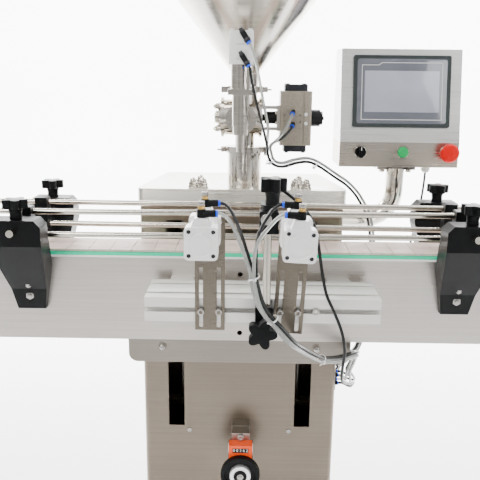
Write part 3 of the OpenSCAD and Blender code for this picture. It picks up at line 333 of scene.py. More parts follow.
def join(made, value, shader, socket):
    made.node_tree.links.new(value, shader.inputs[socket])


NO_LIMIT = 9.0
A, B, RESULT = 6, 7, 2
print("finish helpers ready")

# %% [markdown]
# ### Brushed and polished steel
# Brushing leaves scratches along one direction: noise squeezed hard across it and stretched
# along it. Sheet is brushed along its length, turned parts go round, and polished tube has
# hardly any grain but shows faint handling marks.

# %% Steels
def brushed_steel(name, colour, stretch, rough, marks=0.06, edge=0.0006):
    made, shader = begin(name, colour, 1.0, rough, Specular_IOR_Level=0.5)
    lines = grain(made, stretch, 4.0, 0.7)
    cloud = grain(made, (5, 5, 5), 3.0, 0.5, 0.4)
    dark = tuple(c * 0.86 for c in colour)
    light = tuple(min(1, c * 1.10) for c in colour)
    streaks = tint(made, lines, dark, light, 0.25, 0.75)
    worn = lay(made, "ShaderNodeMix",
               {"Factor": between(made, cloud, 0.0, 0.35), A: streaks, B: (0.88, 0.86, 0.84, 1)},
               data_type="RGBA", blend_type="MULTIPLY")
    join(made, worn.outputs[RESULT], shader, "Base Color")
    mixed = lay(made, "ShaderNodeMath", {0: between(made, lines, rough - 0.05, rough + 0.06),
                                         1: between(made, cloud, -marks, marks)}, operation="ADD")
    join(made, mixed.outputs[0], shader, "Roughness")
    relief(made, shader, lines, 0.00004, 0.35, edge)
    return made


finishes = {
    # Cabinet and tray are one brushed stainless: the cabinet's dark colour is painted shade from
    # under the tray, and the tray's near white is painted light.
    "cabinet": brushed_steel("cabinet_sheet_painted_shade", (0.205, 0.172, 0.138), (3, 3, 420), 0.36),
    "tray": brushed_steel("tray_sheet_painted_light", (0.96, 0.93, 0.87), (4, 300, 420), 0.30),
    "plate": brushed_steel("conveyor_plate", (0.58, 0.545, 0.51), (4, 60, 460), 0.33),
    "support": brushed_steel("support_sheet", (0.27, 0.245, 0.212), (4, 60, 420), 0.34),
    "frame": brushed_steel("frame_tube", (0.40, 0.37, 0.33), (6, 200, 300), 0.38),
    "polished": brushed_steel("polished_tube", (0.74, 0.70, 0.64), (30, 30, 500), 0.12, 0.05,
                              0.0004),
    "spun": brushed_steel("spun_sheet", (0.60, 0.565, 0.52), (6, 6, 300), 0.17, 0.05, 0.0004),
    "rod": brushed_steel("ground_rod", (0.56, 0.525, 0.46), (300, 40, 40), 0.16, 0.04, 0.0003),
    "bracket_plate": brushed_steel("slotted_plate", (0.175, 0.152, 0.122), (60, 60, 380), 0.30),
    "box": brushed_steel("box_sheet", (1.0, 0.99, 0.965), (4, 200, 420), 0.30),
}
print("steels", len(finishes))

# %% [markdown]
# ### Aluminium
# Anodising gives aluminium a satin skin with almost no grain; the extruded beam keeps faint
# drawing lines along its length. The actuator is hard anodised, a warm tan, with end caps
# of another colour: a height test on the object coordinate tells the two apart.

# %% Aluminium
def anodised(name, colour, rough, stretch=(40, 40, 40), depth=0.00002, edge=0.0006):
    made, shader = begin(name, colour, 0.85, rough)
    fine = grain(made, stretch, 5.0, 0.6)
    join(made, tint(made, fine, tuple(c * 0.93 for c in colour), colour), shader, "Base Color")
    join(made, between(made, fine, rough - 0.04, rough + 0.05), shader, "Roughness")
    relief(made, shader, fine, depth, 0.4, edge)
    return made


def split_by_height(made, shader, colour_out, other, low, high):
    """Another colour outside the heights low to high, in metres."""
    place = lay(made, "ShaderNodeTexCoord").outputs["Object"]
    z = lay(made, "ShaderNodeSeparateXYZ", {0: place}).outputs[2]
    over = lay(made, "ShaderNodeMath", {0: z, 1: high}, operation="GREATER_THAN").outputs[0]
    under = lay(made, "ShaderNodeMath", {0: z, 1: low}, operation="LESS_THAN").outputs[0]
    outside = lay(made, "ShaderNodeMath", {0: over, 1: under}, operation="MAXIMUM").outputs[0]
    mix = lay(made, "ShaderNodeMix", {"Factor": outside, A: colour_out, B: (*other, 1)},
              data_type="RGBA")
    join(made, mix.outputs[RESULT], shader, "Base Color")


box_shader = finishes["box"].node_tree.nodes["Principled BSDF"]
box_colour = box_shader.inputs["Base Color"].links[0].from_socket
split_by_height(finishes["box"], box_shader, box_colour, (0.55, 0.50, 0.44),
                at(0, 0, 171.5).z, NO_LIMIT)
finishes["beam"] = anodised("beam_profile", (0.80, 0.785, 0.755), 0.46, (3, 300, 300))
finishes["cylinder"] = anodised("cylinder_skin", (1.0, 0.99, 0.98), 0.42, (80, 80, 80))
finishes["dark_metal"] = anodised("dark_metal", (0.022, 0.022, 0.024), 0.34)
actuator, actuator_shader = begin("actuator_skin", (0.60, 0.56, 0.49), 0.55, 0.42)
cast = grain(actuator, (300, 300, 300), 4.0)
actuator_tint = tint(actuator, cast, (0.29, 0.255, 0.205), (0.37, 0.33, 0.27))
split_by_height(actuator, actuator_shader, actuator_tint, (0.022, 0.024, 0.03),
                at(0, 0, 172.8).z, at(0, 0, 275.2).z)
relief(actuator, actuator_shader, cast, 0.00005, 0.3, 0.0008)
finishes["actuator"] = actuator
print("finishes so far", sorted(finishes))

# %% [markdown]
# ### Plastics and rubber
# Moulded nylon is black with a fine even texture; acetal slats are matt and slightly mottled,
# scuffed by bottles; polyethylene strips are waxy. Each gets its own grain, and light goes a
# little way into the white cable ties.

# %% Plastics
def moulded(name, colour, rough, per_metre=900, depth=0.00004, mottle=0.85, edge=0.0008,
            **sockets):
    made, shader = begin(name, colour, 0.0, rough, **sockets)
    fine = grain(made, (per_metre,) * 3, 2.0)
    broad = grain(made, (25, 25, 25), 4.0, 0.6)
    join(made, tint(made, broad, tuple(c * mottle for c in colour), colour), shader, "Base Color")
    join(made, between(made, broad, max(0.03, rough - 0.05), rough + 0.07), shader, "Roughness")
    relief(made, shader, fine, depth, 0.5, edge)
    return made


finishes["nylon"] = moulded("black_nylon", (0.0025, 0.003, 0.0035), 0.38, 1100, 0.00006, 0.75,
                            Specular_IOR_Level=0.14)
finishes["white"] = moulded("white_plastic", (0.80, 0.80, 0.78), 0.38, 500, 0.00002, 0.95)
finishes["green_strip"] = moulded("green_strip", (0.0, 0.66, 0.36), 0.6, 400, 0.00003, 0.92,
                                  Specular_IOR_Level=0.15)
finishes["orange"] = moulded("orange_case", (0.90, 0.075, 0.0), 0.34, 500, 0.00002, 0.92)
finishes["red"] = moulded("red_button", (0.62, 0.0, 0.0), 0.30, 300, 0.00001, 0.95,
                          Specular_IOR_Level=0.2)
finishes["green"] = moulded("green_button", (0.0, 0.36, 0.09), 0.30, 300, 0.00001, 0.95,
                            Specular_IOR_Level=0.2)
finishes["blue"] = moulded("blue_collet", (0.0, 0.07, 0.75), 0.30, 300, 0.00001, 0.95,
                           edge=0.0002)
finishes["tie"] = moulded("cable_tie", (0.78, 0.78, 0.75), 0.35, 500, 0.00001, 0.95,
                          edge=0.0002, Subsurface_Weight=0.1)
finishes["black_tube"] = moulded("black_tube", (0.006, 0.006, 0.006), 0.22, 200, 0.00001, 0.9,
                                 edge=0, Specular_IOR_Level=0.35)
finishes["cable"] = moulded("cable_sheath", (0.007, 0.007, 0.007), 0.35, 700, 0.00002, 0.85, edge=0,
                            Specular_IOR_Level=0.3)
finishes["clear_tube"] = moulded("clear_tube", (0.46, 0.48, 0.455), 0.16, 150, 0.00001, 0.93,
                                 edge=0, Transmission_Weight=0.6, IOR=1.48)
finishes["rubber"] = moulded("foot_rubber", (0.03, 0.03, 0.03), 0.7, 700, 0.0001, 0.8)
finishes["bezel"] = moulded("panel_bezel", (0.018, 0.026, 0.026), 0.42, 900, 0.00003, 0.9)
# Below 5.2 mm under the deck the green strip is painted white: a painted highlight along its lower
# edge.
strip_shader = finishes["green_strip"].node_tree.nodes["Principled BSDF"]
strip_colour = strip_shader.inputs["Base Color"].links[0].from_socket
split_by_height(finishes["green_strip"], strip_shader, strip_colour, (0.80, 0.80, 0.78),
                at(0, 0, -5.2).z, NO_LIMIT)
slat, slat_shader = begin("slat_acetal", (0.60, 0.50, 0.455), 0.0, 0.42)
slat_mottle = grain(slat, (60, 60, 60), 5.0, 0.65)
slat_scuffs = grain(slat, (12, 500, 40), 3.0, 0.6)
slat_mix = lay(slat, "ShaderNodeMath", {0: slat_mottle, 1: slat_scuffs},
               operation="MULTIPLY").outputs[0]
slat_tint = tint(slat, slat_mix, (0.60, 0.47, 0.41), (0.80, 0.66, 0.585), 0.12, 0.42)
join(slat, slat_tint, slat_shader, "Base Color")
join(slat, between(slat, slat_scuffs, 0.34, 0.55), slat_shader, "Roughness")
relief(slat, slat_shader, slat_mix, 0.00006, 0.4, 0.0006)
finishes["slat"] = slat
finishes["paint"] = moulded("motor_paint", (0.10, 0.13, 0.16), 0.35, 200, 0.00008, 0.9,
                            Coat_Weight=0.3)
finishes["brass"] = anodised("brass", (0.62, 0.40, 0.12), 0.24, (200, 200, 200), 0.00001, 0.0003)
finishes["zinc"] = anodised("zinc_screw", (0.40, 0.385, 0.36), 0.24, (300, 300, 300), 0.00002,
                            0.0003)
finishes["black_screw"] = anodised("black_screw", (0.05, 0.05, 0.052), 0.35, (300, 300, 300),
                                   0.00002, 0.0003)
glass, glass_shader = begin("screen_glass", (0.12, 0.128, 0.155), 0.0, 0.09, Coat_Weight=1.0,
                            Coat_Roughness=0.04)
smear = grain(glass, (14, 14, 20), 3.0, 0.6, 0.5)
join(glass, between(glass, smear, 0.07, 0.16), glass_shader, "Roughness")
join(glass, tint(glass, smear, (0.11, 0.118, 0.143), (0.13, 0.138, 0.167)), glass_shader,
     "Base Color")
finishes["glass"] = glass
picture, picture_shader = begin("picture_area", (0.36, 0.375, 0.45), 0.0, 0.25,
                                Coat_Weight=1.0, Coat_Roughness=0.06)
haze = grain(picture, (9, 9, 9), 2.0, 0.5, 0.3)
join(picture, tint(picture, haze, (0.30, 0.315, 0.385), (0.38, 0.395, 0.47)), picture_shader,
     "Base Color")
finishes["picture"] = picture
finishes["dark"] = moulded("dark_gap", (0.012, 0.012, 0.012), 0.8, 300, 0.00001, 0.9, edge=0)
print("finishes", len(finishes))

# %% Finishes on the engineering parts
FINISH_OF = {
    "frame": ["base_frame", "lift_frame"],
    "cabinet": ["cabinet_shell", "rear_door"],
    "tray": ["top_tray"],
    "polished": ["product_cylinder", "pipe_work", "valve_body", "control_post", "nozzle_body"],
    "spun": ["hopper", "hopper_lid"],
    "box": ["control_box"],
    "plate": ["side_plates", "drive_wheel", "idler_wheel"],
    "support": ["support_tray"],
    "beam": ["stop_beam"],
    "cylinder": ["stop_cylinders", "drive_cylinder"],
    "bracket_plate": ["stop_plates"],
    "rod": ["guide_rails", "nozzle_rod", "stop_rod_left", "stop_rod_right", "lift_screw",
            "button_bezels"],
    "dark_metal": ["valve_rotor"],
    "actuator": ["actuator_body"],
    "white": ["piston", "nozzle_cylinder"],
    "nylon": ["air_fittings", "speed_controllers", "sensor_mount", "rail_brackets", "selector_knob",
              "handwheel", "sensor_knob_upper", "sensor_knob_lower", "rail_knob_near_left",
              "rail_knob_near_right", "rail_knob_far_left", "rail_knob_far_right"],
    "green_strip": ["wear_strips"],
    "slat": ["slat_chain"],
    "orange": ["position_counter"],
    "red": ["stop_button"],
    "green": ["start_button"],
    "bezel": ["touch_panel"],
    "paint": ["drive_motor"],
    "black_tube": ["tube_nozzle_black", "tube_actuator_black", "tube_left_black",
                   "tube_right_black"],
    "clear_tube": ["tube_nozzle_clear", "tube_actuator_clear", "tube_left_clear",
                   "tube_right_clear"],
    "cable": ["cable_sensor", "cable_control"],
}
for finish, names in FINISH_OF.items():
    for name in names:
        for slot in nodes[name].material_slots:
            slot.material = finishes[finish]
        if name in cords:
            cords[name].data.materials.clear()
            cords[name].data.materials.append(finishes[finish])
print("finished parts", sum(len(v) for v in FINISH_OF.values()))

# %% [markdown]
# ## Making small pieces
# Small pieces start from plain drums, blocks and spun profiles, in millimetres and already at
# their place on the machine. Sharp edges are bevelled where they should catch light, then one
# matrix takes the piece to metres. Each piece rides on the body that carries it.

# %% Piece helpers
TURN = {"Z": Matrix.Identity(4), "-Z": Matrix.Rotation(math.pi, 4, "X"),
        "Y": Matrix.Rotation(-math.pi / 2, 4, "X"), "-Y": Matrix.Rotation(math.pi / 2, 4, "X"),
        "X": Matrix.Rotation(math.pi / 2, 4, "Y"), "-X": Matrix.Rotation(-math.pi / 2, 4, "Y")}
SHARP, SMOOTH_TO = 35, 32


def place_of(point, axis="Z"):
    """A frame at the point, its z along the axis: a name from TURN or any direction."""
    if isinstance(axis, str):
        return Matrix.Translation(point) @ TURN[axis]
    turn = Vector((0, 0, 1)).rotation_difference(axis)
    return Matrix.Translation(point) @ turn.to_matrix().to_4x4()


def drum(bm, place, d, low, high, top_d=None, sides=32):
    """A closed cylinder or cone along the place's z axis, from low to high."""
    lift = Matrix.Translation((0, 0, (low + high) / 2))
    return bmesh.ops.create_cone(bm, cap_ends=True, segments=sides, radius1=d / 2,
                                 radius2=(d if top_d is None else top_d) / 2, depth=high - low,
                                 matrix=place @ lift)["verts"]


def block(bm, low, high, place=None):
    low, high = Vector(low), Vector(high)
    size = Matrix.Diagonal((*(high - low), 1))
    return bmesh.ops.create_cube(bm, size=1.0, matrix=(place or Matrix.Identity(4))
                                 @ Matrix.Translation((low + high) / 2) @ size)["verts"]


def turned(bm, place, profile, steps=48):
    """A turned part: the profile of (radius, height) points spun once round the place's z axis."""
    old = set(bm.verts)
    verts = [bm.verts.new((r, 0, z)) for r, z in profile]
    edges = [bm.edges.new(pair) for pair in zip(verts, verts[1:])]
    bmesh.ops.spin(bm, geom=verts + edges, cent=(0, 0, 0), axis=(0, 0, 1), angle=2 * math.pi,
                   steps=steps, use_merge=True, use_duplicate=False)
    bmesh.ops.remove_doubles(bm, verts=[v for v in bm.verts if v not in old], dist=0.001)
    bmesh.ops.transform(bm, matrix=place, verts=[v for v in bm.verts if v not in old])


def round_off(bm, edges, width, segments):
    bmesh.ops.bevel(bm, geom=edges, offset=width, offset_type="OFFSET", segments=segments,
                    profile=0.5, affect="EDGES", clamp_overlap=True, material=-1)


def vertices_in(geometry):
    return [g for g in geometry if isinstance(g, bmesh.types.BMVert)]


def sharp_edges(bm, angle):
    return [e for e in bm.edges
            if len(e.link_faces) == 2 and e.calc_face_angle() > math.radians(angle)]


def soften(bm, width):
    bmesh.ops.remove_doubles(bm, verts=bm.verts, dist=0.0005)
    sharp = sharp_edges(bm, SHARP)
    if sharp:
        round_off(bm, sharp, width, 2)


def set_in_place(bm, name, body, finish, bevel=0.3):
    """Softens, closes and places the piece, and hands it to its body."""
    if bevel:
        soften(bm, bevel)
    bmesh.ops.recalc_face_normals(bm, faces=bm.faces)
    bm.transform(TO_FRAME)
    mesh = bpy.data.meshes.new(name)
    bm.to_mesh(mesh)
    bm.free()
    for face in mesh.polygons:
        face.use_smooth = True
    mesh.set_sharp_from_angle(angle=math.radians(SMOOTH_TO))
    made = bpy.data.objects.new(name, mesh)
    bpy.context.scene.collection.objects.link(made)
    made.data.materials.append(finishes[finish])
    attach(made, body)
    print(name, len(mesh.polygons), "faces")
    return made


print("piece helpers ready")

# %% [markdown]
# ## Screws
# A cap screw is a short drum with a hole in its head. The top face is inset and the inner
# face pushed in, which is cheaper than cutting; a round hole is enough at this size. All
# screws of one finish on one body are one piece.

# %% Screws
WASHER_H, CORNERS = 1.5, 1.155


def socket_screw(bm, point, axis, d, h):
    """A cap screw whose seat is at the point, with a blind round hole in its head."""
    place = place_of(point, axis)
    head = drum(bm, place, d, 0, h)
    face = max((f for v in head for f in v.link_faces if len(f.verts) == 32),
               key=lambda f: (place.inverted() @ f.calc_center_median()).z)
    bmesh.ops.inset_region(bm, faces=[face], thickness=d * 0.26, depth=0, use_even_offset=True)
    hole = bmesh.ops.extrude_discrete_faces(bm, faces=[face])["faces"]
    bmesh.ops.translate(bm, verts=hole[0].verts, vec=-(place.to_3x3() @ Vector((0, 0, h * 0.55))))


def hex_nut(bm, point, axis, across, h, washer, stud):
    """A washer, a nut and the end of its bolt, standing on the point."""
    place = place_of(point, axis)
    drum(bm, place, washer, 0, WASHER_H)
    drum(bm, place, across * CORNERS, WASHER_H, WASHER_H + h, sides=6)
    drum(bm, place, stud, WASHER_H + h, WASHER_H + h + 3.0, stud * 0.86, sides=24)


BEAM_SCREW_Z = -59.1
bm = bmesh.new()
for x in (-60, -32, 64, 92):
    socket_screw(bm, (x, -131.8, BEAM_SCREW_Z), "-Y", 10.6, 5.6)
socket_screw(bm, (121, -126.8, BEAM_SCREW_Z), "-Y", 11.6, 2.8)
set_in_place(bm, "beam_screws", "conveyor", "zinc", 0.4)

bm = bmesh.new()
for x in (-139, 139):
    place = place_of((x, -5.2, -175), "-Y")
    turned(bm, place, [(0, 5.0), (3.0, 4.7), (5.0, 3.6), (5.8, 2.2), (6.0, 0.0), (0, 0)], 32)
set_in_place(bm, "dome_screws", "conveyor", "zinc", 0)

bm = bmesh.new()
for x, y in ((-96, 176), (-84, 214), (-76, 170), (104, 176), (114, 214), (126, 172)):
    drum(bm, place_of((x, y, 88.3)), 21, 0, 2.4)
    drum(bm, place_of((x, y, 90.5)), 19.6, 0, 8, sides=6)
    turned(bm, place_of((x, y, 98.5)),
           [(0, 9.0), (3.4, 8.2), (5.8, 6.0), (6.9, 3.0), (7.0, -1), (0, -1)], 32)
set_in_place(bm, "tray_dome_nuts", "machine", "rod", 0.5)

bm = bmesh.new()
for side in (-1, 1):
    socket_screw(bm, (side * 105, CABINET_Y, -430), "-Y", 9, 2.4)
    socket_screw(bm, (side * 105, CABINET_Y, 40), "-Y", 9, 2.4)
    for z in (-610, -606, -70, -66):
        drum(bm, place_of((side * 188, CABINET_Y, z), "-Y"), 5, 0, 0.8, sides=16)
socket_screw(bm, (HEAD_X, 95, -412.6), "-Y", 13.4, 2.6)
for side in (-1, 1):
    for z in (-489, -413):
        socket_screw(bm, (HEAD_X + side * 14.2, 128, z), "-Y", 6, 2)
set_in_place(bm, "cabinet_screws", "machine", "zinc", 0.3)

# %% [markdown]
# Hexagon nuts on washers hold the rail brackets to the side plates. Four smaller ones close
# the valve's end cover, which also has a flat turned boss.

# %% Nuts and bracket bolts
bm = bmesh.new()
for x in HAND_X.values():
    for z, near_y, far_y in ((-75, -15.2, 97.8), (-52, -21, 103.6)):
        hex_nut(bm, (x, near_y, z), "-Y", 13, 6.5, 18, 8)
        hex_nut(bm, (x, far_y, z), "Y", 13, 6.5, 18, 8)
set_in_place(bm, "bracket_bolts", "conveyor", "zinc", 0.4)

bm = bmesh.new()
REACH = 30 * math.sqrt(0.5)
for y, z in ((1, 1), (-1, 1), (-1, -1), (1, -1)):
    hex_nut(bm, (-46.5, HEAD_Y + y * REACH, VALVE_Z + z * REACH), "-X", 9, 5, 12, 6)
    socket_screw(bm, (65, HEAD_Y + y * 16, VALVE_Z + z * 9), "-X", 6, 3)
turned(bm, place_of((-47, HEAD_Y, VALVE_Z), "-X"), [(0, 8), (10, 8), (12, 6), (12, 0), (0, 0)], 40)
set_in_place(bm, "valve_nuts", "machine", "rod", 0.3)

# %% [markdown]
# ## Star knobs
# A star knob is a body with five round lobes and a necked collar. An extruded outline with
# softened edges is close to the moulded thing. Only the sensor's upper knob shows the steel
# insert in its top.

# %% Star knobs
LOBES, WAIST, FULLNESS = 5, 0.60, 0.7


def star_knob(name, node_name, place, d, collar_d, collar_h, star_h, insert=False):
    bm = bmesh.new()
    outline = bmesh.ops.create_circle(bm, cap_ends=True, segments=120, radius=d / 2)["verts"]
    for v in outline:
        angle = math.atan2(v.co.y, v.co.x)
        wave = 0.5 + 0.5 * math.cos(LOBES * angle)
        reach = d / 2 * (WAIST + (1 - WAIST) * wave ** FULLNESS)
        v.co = Vector((math.cos(angle) * reach, math.sin(angle) * reach, collar_h))
    top = bmesh.ops.extrude_face_region(bm, geom=bm.faces[:])["geom"]
    bmesh.ops.translate(bm, verts=vertices_in(top), vec=(0, 0, star_h))
    bmesh.ops.recalc_face_normals(bm, faces=bm.faces)
    round_off(bm, sharp_edges(bm, 60), star_h * 0.2, 4)
    turned(bm, Matrix.Identity(4), [(0, 0), (collar_d / 2, 0), (collar_d / 2, collar_h * 0.55),
                                    (collar_d * 0.56, collar_h * 0.9), (d * 0.33, collar_h + 1.5),
                                    (0, collar_h + 1.5)], 48)
    turned(bm, Matrix.Identity(4), [(0, 1), (3, 1), (3, -6), (0, -6)], 24)
    bmesh.ops.transform(bm, matrix=place, verts=bm.verts)
    made = set_in_place(bm, name, node_name + "_body", "nylon", 0)
    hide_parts(node_name)
    if not insert:
        return
    bm = bmesh.new()
    end = collar_h + star_h
    turned(bm, place, [(0, end + 0.4), (d * 0.19, end + 0.4), (d * 0.21, end),
                       (d * 0.21, end - 2), (0, end - 2)], 40)
    set_in_place(bm, name + "_insert", node_name + "_body", "zinc", 0)


for side, y in (("near", -64.0), ("far", 146.6)):
    for hand, x in HAND_X.items():
        star_knob(f"star_{side}_{hand}", f"rail_knob_{side}_{hand}", place_of((x, y, 71.4)),
                  42, 20, 17, 15)
star_knob("star_sensor_upper", "sensor_knob_upper", place_of((48, -147, 115.4)),
          42.4, 21, 20, 19.6, insert=True)
star_knob("star_sensor_lower", "sensor_knob_lower", place_of((35, -162.4, -73), "-Y"),
          46.4, 22, 17, 17.6)

# %% [markdown]
# ## Air fittings
# Push-in fittings hold the tube with a coloured collet ring, a turned part threaded over the
# tube's end along its own direction. The nozzle's elbows get a hexagon, a neck and a small
# screw. The speed controllers on the stops have a brass nut under a slotted needle screw.

# %% Collet rings and needle screws
def ring(bm, point, axis, d, h):
    """A collet ring with the tube's bore."""
    inner, outer = TUBE_D / 2, d / 2
    turned(bm, place_of(point, axis), [(inner, 0), (outer - 0.4, 0), (outer, 0.5), (outer, h - 0.5),
                                       (outer - 0.4, h), (inner, h), (inner, 0)], 32)


bm = bmesh.new()
for mid, run in ELBOWS[:2]:
    spot = place_of(Vector(mid), -Vector(run))
    drum(bm, spot, 10.8, 1.5, 4.5, sides=6)
    drum(bm, spot, 7.2, 4.5, 9.0, sides=24)
    turned(bm, place_of(Vector(mid) + 0.62 * Vector(run), Vector(run)),
           [(5.0, 0), (5.9, 0.6), (5.9, 4.2), (5.0, 4.8), (5.0, 0)], 32)
set_in_place(bm, "elbow_bodies", "machine", "black_screw", 0.3)
bm = bmesh.new()
for mid, run in ELBOWS[:2]:
    spot = place_of(Vector(mid), -Vector(run))
    turned(bm, spot, [(0, 10.6), (2.6, 10.4), (2.9, 9.8), (2.9, 8.8), (0, 8.8)], 24)
set_in_place(bm, "elbow_screws", "machine", "zinc", 0)
root_rings, stop_rings = bmesh.new(), bmesh.new()
for i, (mid, run) in enumerate(ELBOWS):
    tip_point = Vector(mid) + Vector(run)
    ring(root_rings, tip_point, Vector(run), 9.6 if i < 2 else 8.8, 3.2)
for tip_point, axis in ((LEFT, "X"), (RIGHT, "-X")):
    for port in (REAR_PORT, FRONT_PORT):
        ring(stop_rings, tip_point + Vector((0, port, 0)), axis, 9.6, 3.2)
for i in (0, 1, 2, 3, 4, 6, 7, 8, 9, 10):
    ring(root_rings, union(i), "X", 8.6, 2.4)
set_in_place(root_rings, "collets_head", "machine", "blue", 0)
set_in_place(stop_rings, "collets_stops", "conveyor", "blue", 0)

nuts, needles = bmesh.new(), bmesh.new()
for x, z, lean in STOPS:
    stand = Matrix.Translation((x, 0, z)) @ Matrix.Rotation(math.radians(lean), 4, "Y")
    for port in (REAR_PORT, FRONT_PORT):
        spot = stand @ Matrix.Translation((0, port, 45))
        drum(nuts, spot, 10.4, -0.4, 2.8, sides=6)
        drum(nuts, spot, 9.2, 2.8, 4.7, sides=28)
        turned(needles, spot,
               [(0, 10.5), (4.1, 10.5), (4.8, 9.8), (4.8, 5.6), (4.3, 4.9), (0, 4.9)], 32)
        block(needles, (-3.6, -0.5, 10.3), (3.6, 0.5, 10.9), spot)
set_in_place(nuts, "needle_nuts", "conveyor", "brass", 0.25)
set_in_place(needles, "needle_screws", "conveyor", "zinc", 0.2)

# %% [markdown]
# The stops' square caps are held by four screws each, sunk so deep that only the dark
# counterbores show. The screws are not drawn: a near-black disc just under each cap's face is
# painted shade for the deep counterbore. The left cap stands upright, the right one leans a
# little with its plate.

# %% Painted shade in the stops' cap counterbores
CAP_FACE, CAP_SCREW = -271.6, 16.3
holes = bmesh.new()
for x, z, lean in STOPS:
    lean_turn = Matrix.Rotation(math.radians(lean), 4, "Y")
    stand = Matrix.Translation((x, CAP_FACE, z)) @ lean_turn @ TURN["-Y"]
    for across in (-CAP_SCREW, CAP_SCREW):
        for up in (-CAP_SCREW, CAP_SCREW):
            spot = stand @ Matrix.Translation((across, up, 0))
            turned(holes, spot, [(0, -0.9), (2.9, -0.9), (2.9, -5), (0, -5)], 28)
set_in_place(holes, "cap_counterbore_shade", "conveyor", "dark", 0)

# %% [markdown]
# ## Cable ties
# A tie is a thin band round the bundle with a small square head and a cut tail. The band is
# a thin rectangle spun round once and stretched to the bundle's width and height.

# %% Cable ties
def cable_tie(bm, centre, along, width, height, tail):
    before = set(bm.verts)
    place = place_of(centre, Vector(along))
    turned(bm, Matrix.Identity(4),
           [(0.94, -1.3), (1.0, -1.3), (1.0, 1.3), (0.94, 1.3), (0.94, -1.3)], 40)
    band = [v for v in bm.verts if v not in before]
    bmesh.ops.scale(bm, verts=band, vec=(width / 2 + 1.2, height / 2 + 1.2, 1))
    block(bm, (width / 2 - 0.8, -2.4, -2.2), (width / 2 + 3.4, 2.4, 2.2))
    block(bm, (width / 2 + 0.4, 1.0, -1.2), (width / 2 + 1.4, 2.4 + tail, 1.2))
    fresh = [v for v in bm.verts if v not in before]
    bmesh.ops.transform(bm, matrix=place, verts=fresh)


bm = bmesh.new()
cable_tie(bm, (21.5, -236, 30), (0.24, 0.24, -0.94), 13, 13, 7)
cable_tie(bm, (50, -215, -40), (0.5, 0.3, -0.8), 13, 13, 5)
cable_tie(bm, (139, -84, -158), (0.6, 0.7, -0.36), 13, 13, 7)
set_in_place(bm, "ties_front", "conveyor", "tie", 0.2)
bm = bmesh.new()
cable_tie(bm, (53, 119, 148), (0.4, 0.3, -0.86), 14, 14, 6)
cable_tie(bm, (141, 156, 139), (0.86, 0.2, -0.45), 14, 14, 6)
cable_tie(bm, (271, 210, -70), (0.1, 0.06, -1.0), 13, 13, 5)
set_in_place(bm, "ties_head", "machine", "tie", 0.2)

# %% [markdown]
# ## Touch screen
# The screen leans back with the box. Its glass lies a hair proud of the dark bezel, and a
# light printed outline with one slanted notch runs round the picture area. The panel's own
# frame is a matrix, so its pieces are drawn upright and then leaned.

# %% Touch screen
LEAN = math.radians(9.5)
PANEL_X, PANEL_Z, PANEL_RISE = 326, 274, 102
PANEL = (Matrix.Translation((PANEL_X, BUTTON_Y + PANEL_RISE * math.tan(LEAN), PANEL_Z))
         @ Matrix.Rotation(-LEAN, 4, "X"))


def panel_plate(bm, w, h, front, back, radius, shift=0.0):
    """A rounded plate on the panel, from front to back, both counted outwards."""
    verts = block(bm, (-w / 2, -front, -h / 2 + shift), (w / 2, -back, h / 2 + shift))
    corners = [e for e in {e for v in verts for e in v.link_edges}
               if abs((e.verts[0].co - e.verts[1].co).normalized().y) > 0.9]
    round_off(bm, corners, radius, 5)


bm = bmesh.new()
panel_plate(bm, 184, 132, 6.6, 5.0, 5)
bmesh.ops.transform(bm, matrix=PANEL, verts=bm.verts)
set_in_place(bm, "screen_face", "machine", "glass", 0.2)
bm = bmesh.new()
panel_plate(bm, 153, 84, 6.85, 6.2, 1.5, -0.5)
bmesh.ops.transform(bm, matrix=PANEL, verts=bm.verts)
set_in_place(bm, "screen_picture", "machine", "picture", 0.1)
bm = bmesh.new()
for x_low, z_low, x_high, z_high in ((-83, -58.5, 83, -57.4), (-42, 57.4, 83, 58.5),
                                     (-83, 52.4, -48, 53.5), (-83, -58.5, -81.9, 53.5),
                                     (81.9, -58.5, 83, 58.5)):
    block(bm, (x_low, -6.95, z_low), (x_high, -6.4, z_high))
slant = Matrix.Translation((-45, -6.68, 55.45)) @ Matrix.Rotation(math.radians(-40), 4, "Y")
block(bm, (-4.4, -0.27, -0.55), (4.4, 0.27, 0.55), slant)
bmesh.ops.transform(bm, matrix=PANEL, verts=bm.verts)
set_in_place(bm, "screen_outline", "machine", "white", 0)

# %% [markdown]
# ## Controls
# Each button sits in a bright ring. The selector's handle carries a white pointer, the start
# button is a low green cap, and the emergency stop is a red mushroom.

# %% Controls
bm = bmesh.new()
block(bm, (243.7, 251.6, 156), (245.3, 252.2, 162.6))
set_in_place(bm, "selector_pointer", "selector_knob_body", "white", 0)
bm = bmesh.new()
turned(bm, place_of((STOP_X, 257, BUTTON_Z), "-Y"),
       [(0, 14.0), (10, 13.6), (16, 12.0), (19, 8.6), (19.5, 5.5), (19.2, 2.0), (17, 0.4),
        (9.4, 0), (9.4, -9), (0, -9)], 64)
mushroom = set_in_place(bm, "mushroom_head", "stop_button_body", "red", 0)
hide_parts("stop_button")
bm = bmesh.new()
turned(bm, place_of((START_X, 268, BUTTON_Z), "-Y"),
       [(0, 5.4), (8.4, 5.4), (10.2, 4.8), (11, 3.6), (11, 0), (0, 0)], 48)
cap = set_in_place(bm, "start_cap", "start_button_body", "green", 0)
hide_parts("start_button")
bm = bmesh.new()
for x, d in ((SELECTOR_X, 28), (START_X, 29), (STOP_X, 30)):
    turned(bm, place_of((x, BUTTON_Y, BUTTON_Z), "-Y"),
           [(11.4, 0), (d / 2, 0), (d / 2, 2.4), (d / 2 - 1.6, 6.0), (11.9, 6.2), (11.4, 5.6),
            (11.4, 0)], 56)
set_in_place(bm, "button_rings", "machine", "rod", 0)

# %% [markdown]
# ## Height adjustment
# The counter shows the conveyor's height through a small window. A dark slab stands for its
# number drums, and the digits are flat text, made into a mesh and laid on it. The handwheel
# has a ribbed rim: one ridge, repeated round the wheel.

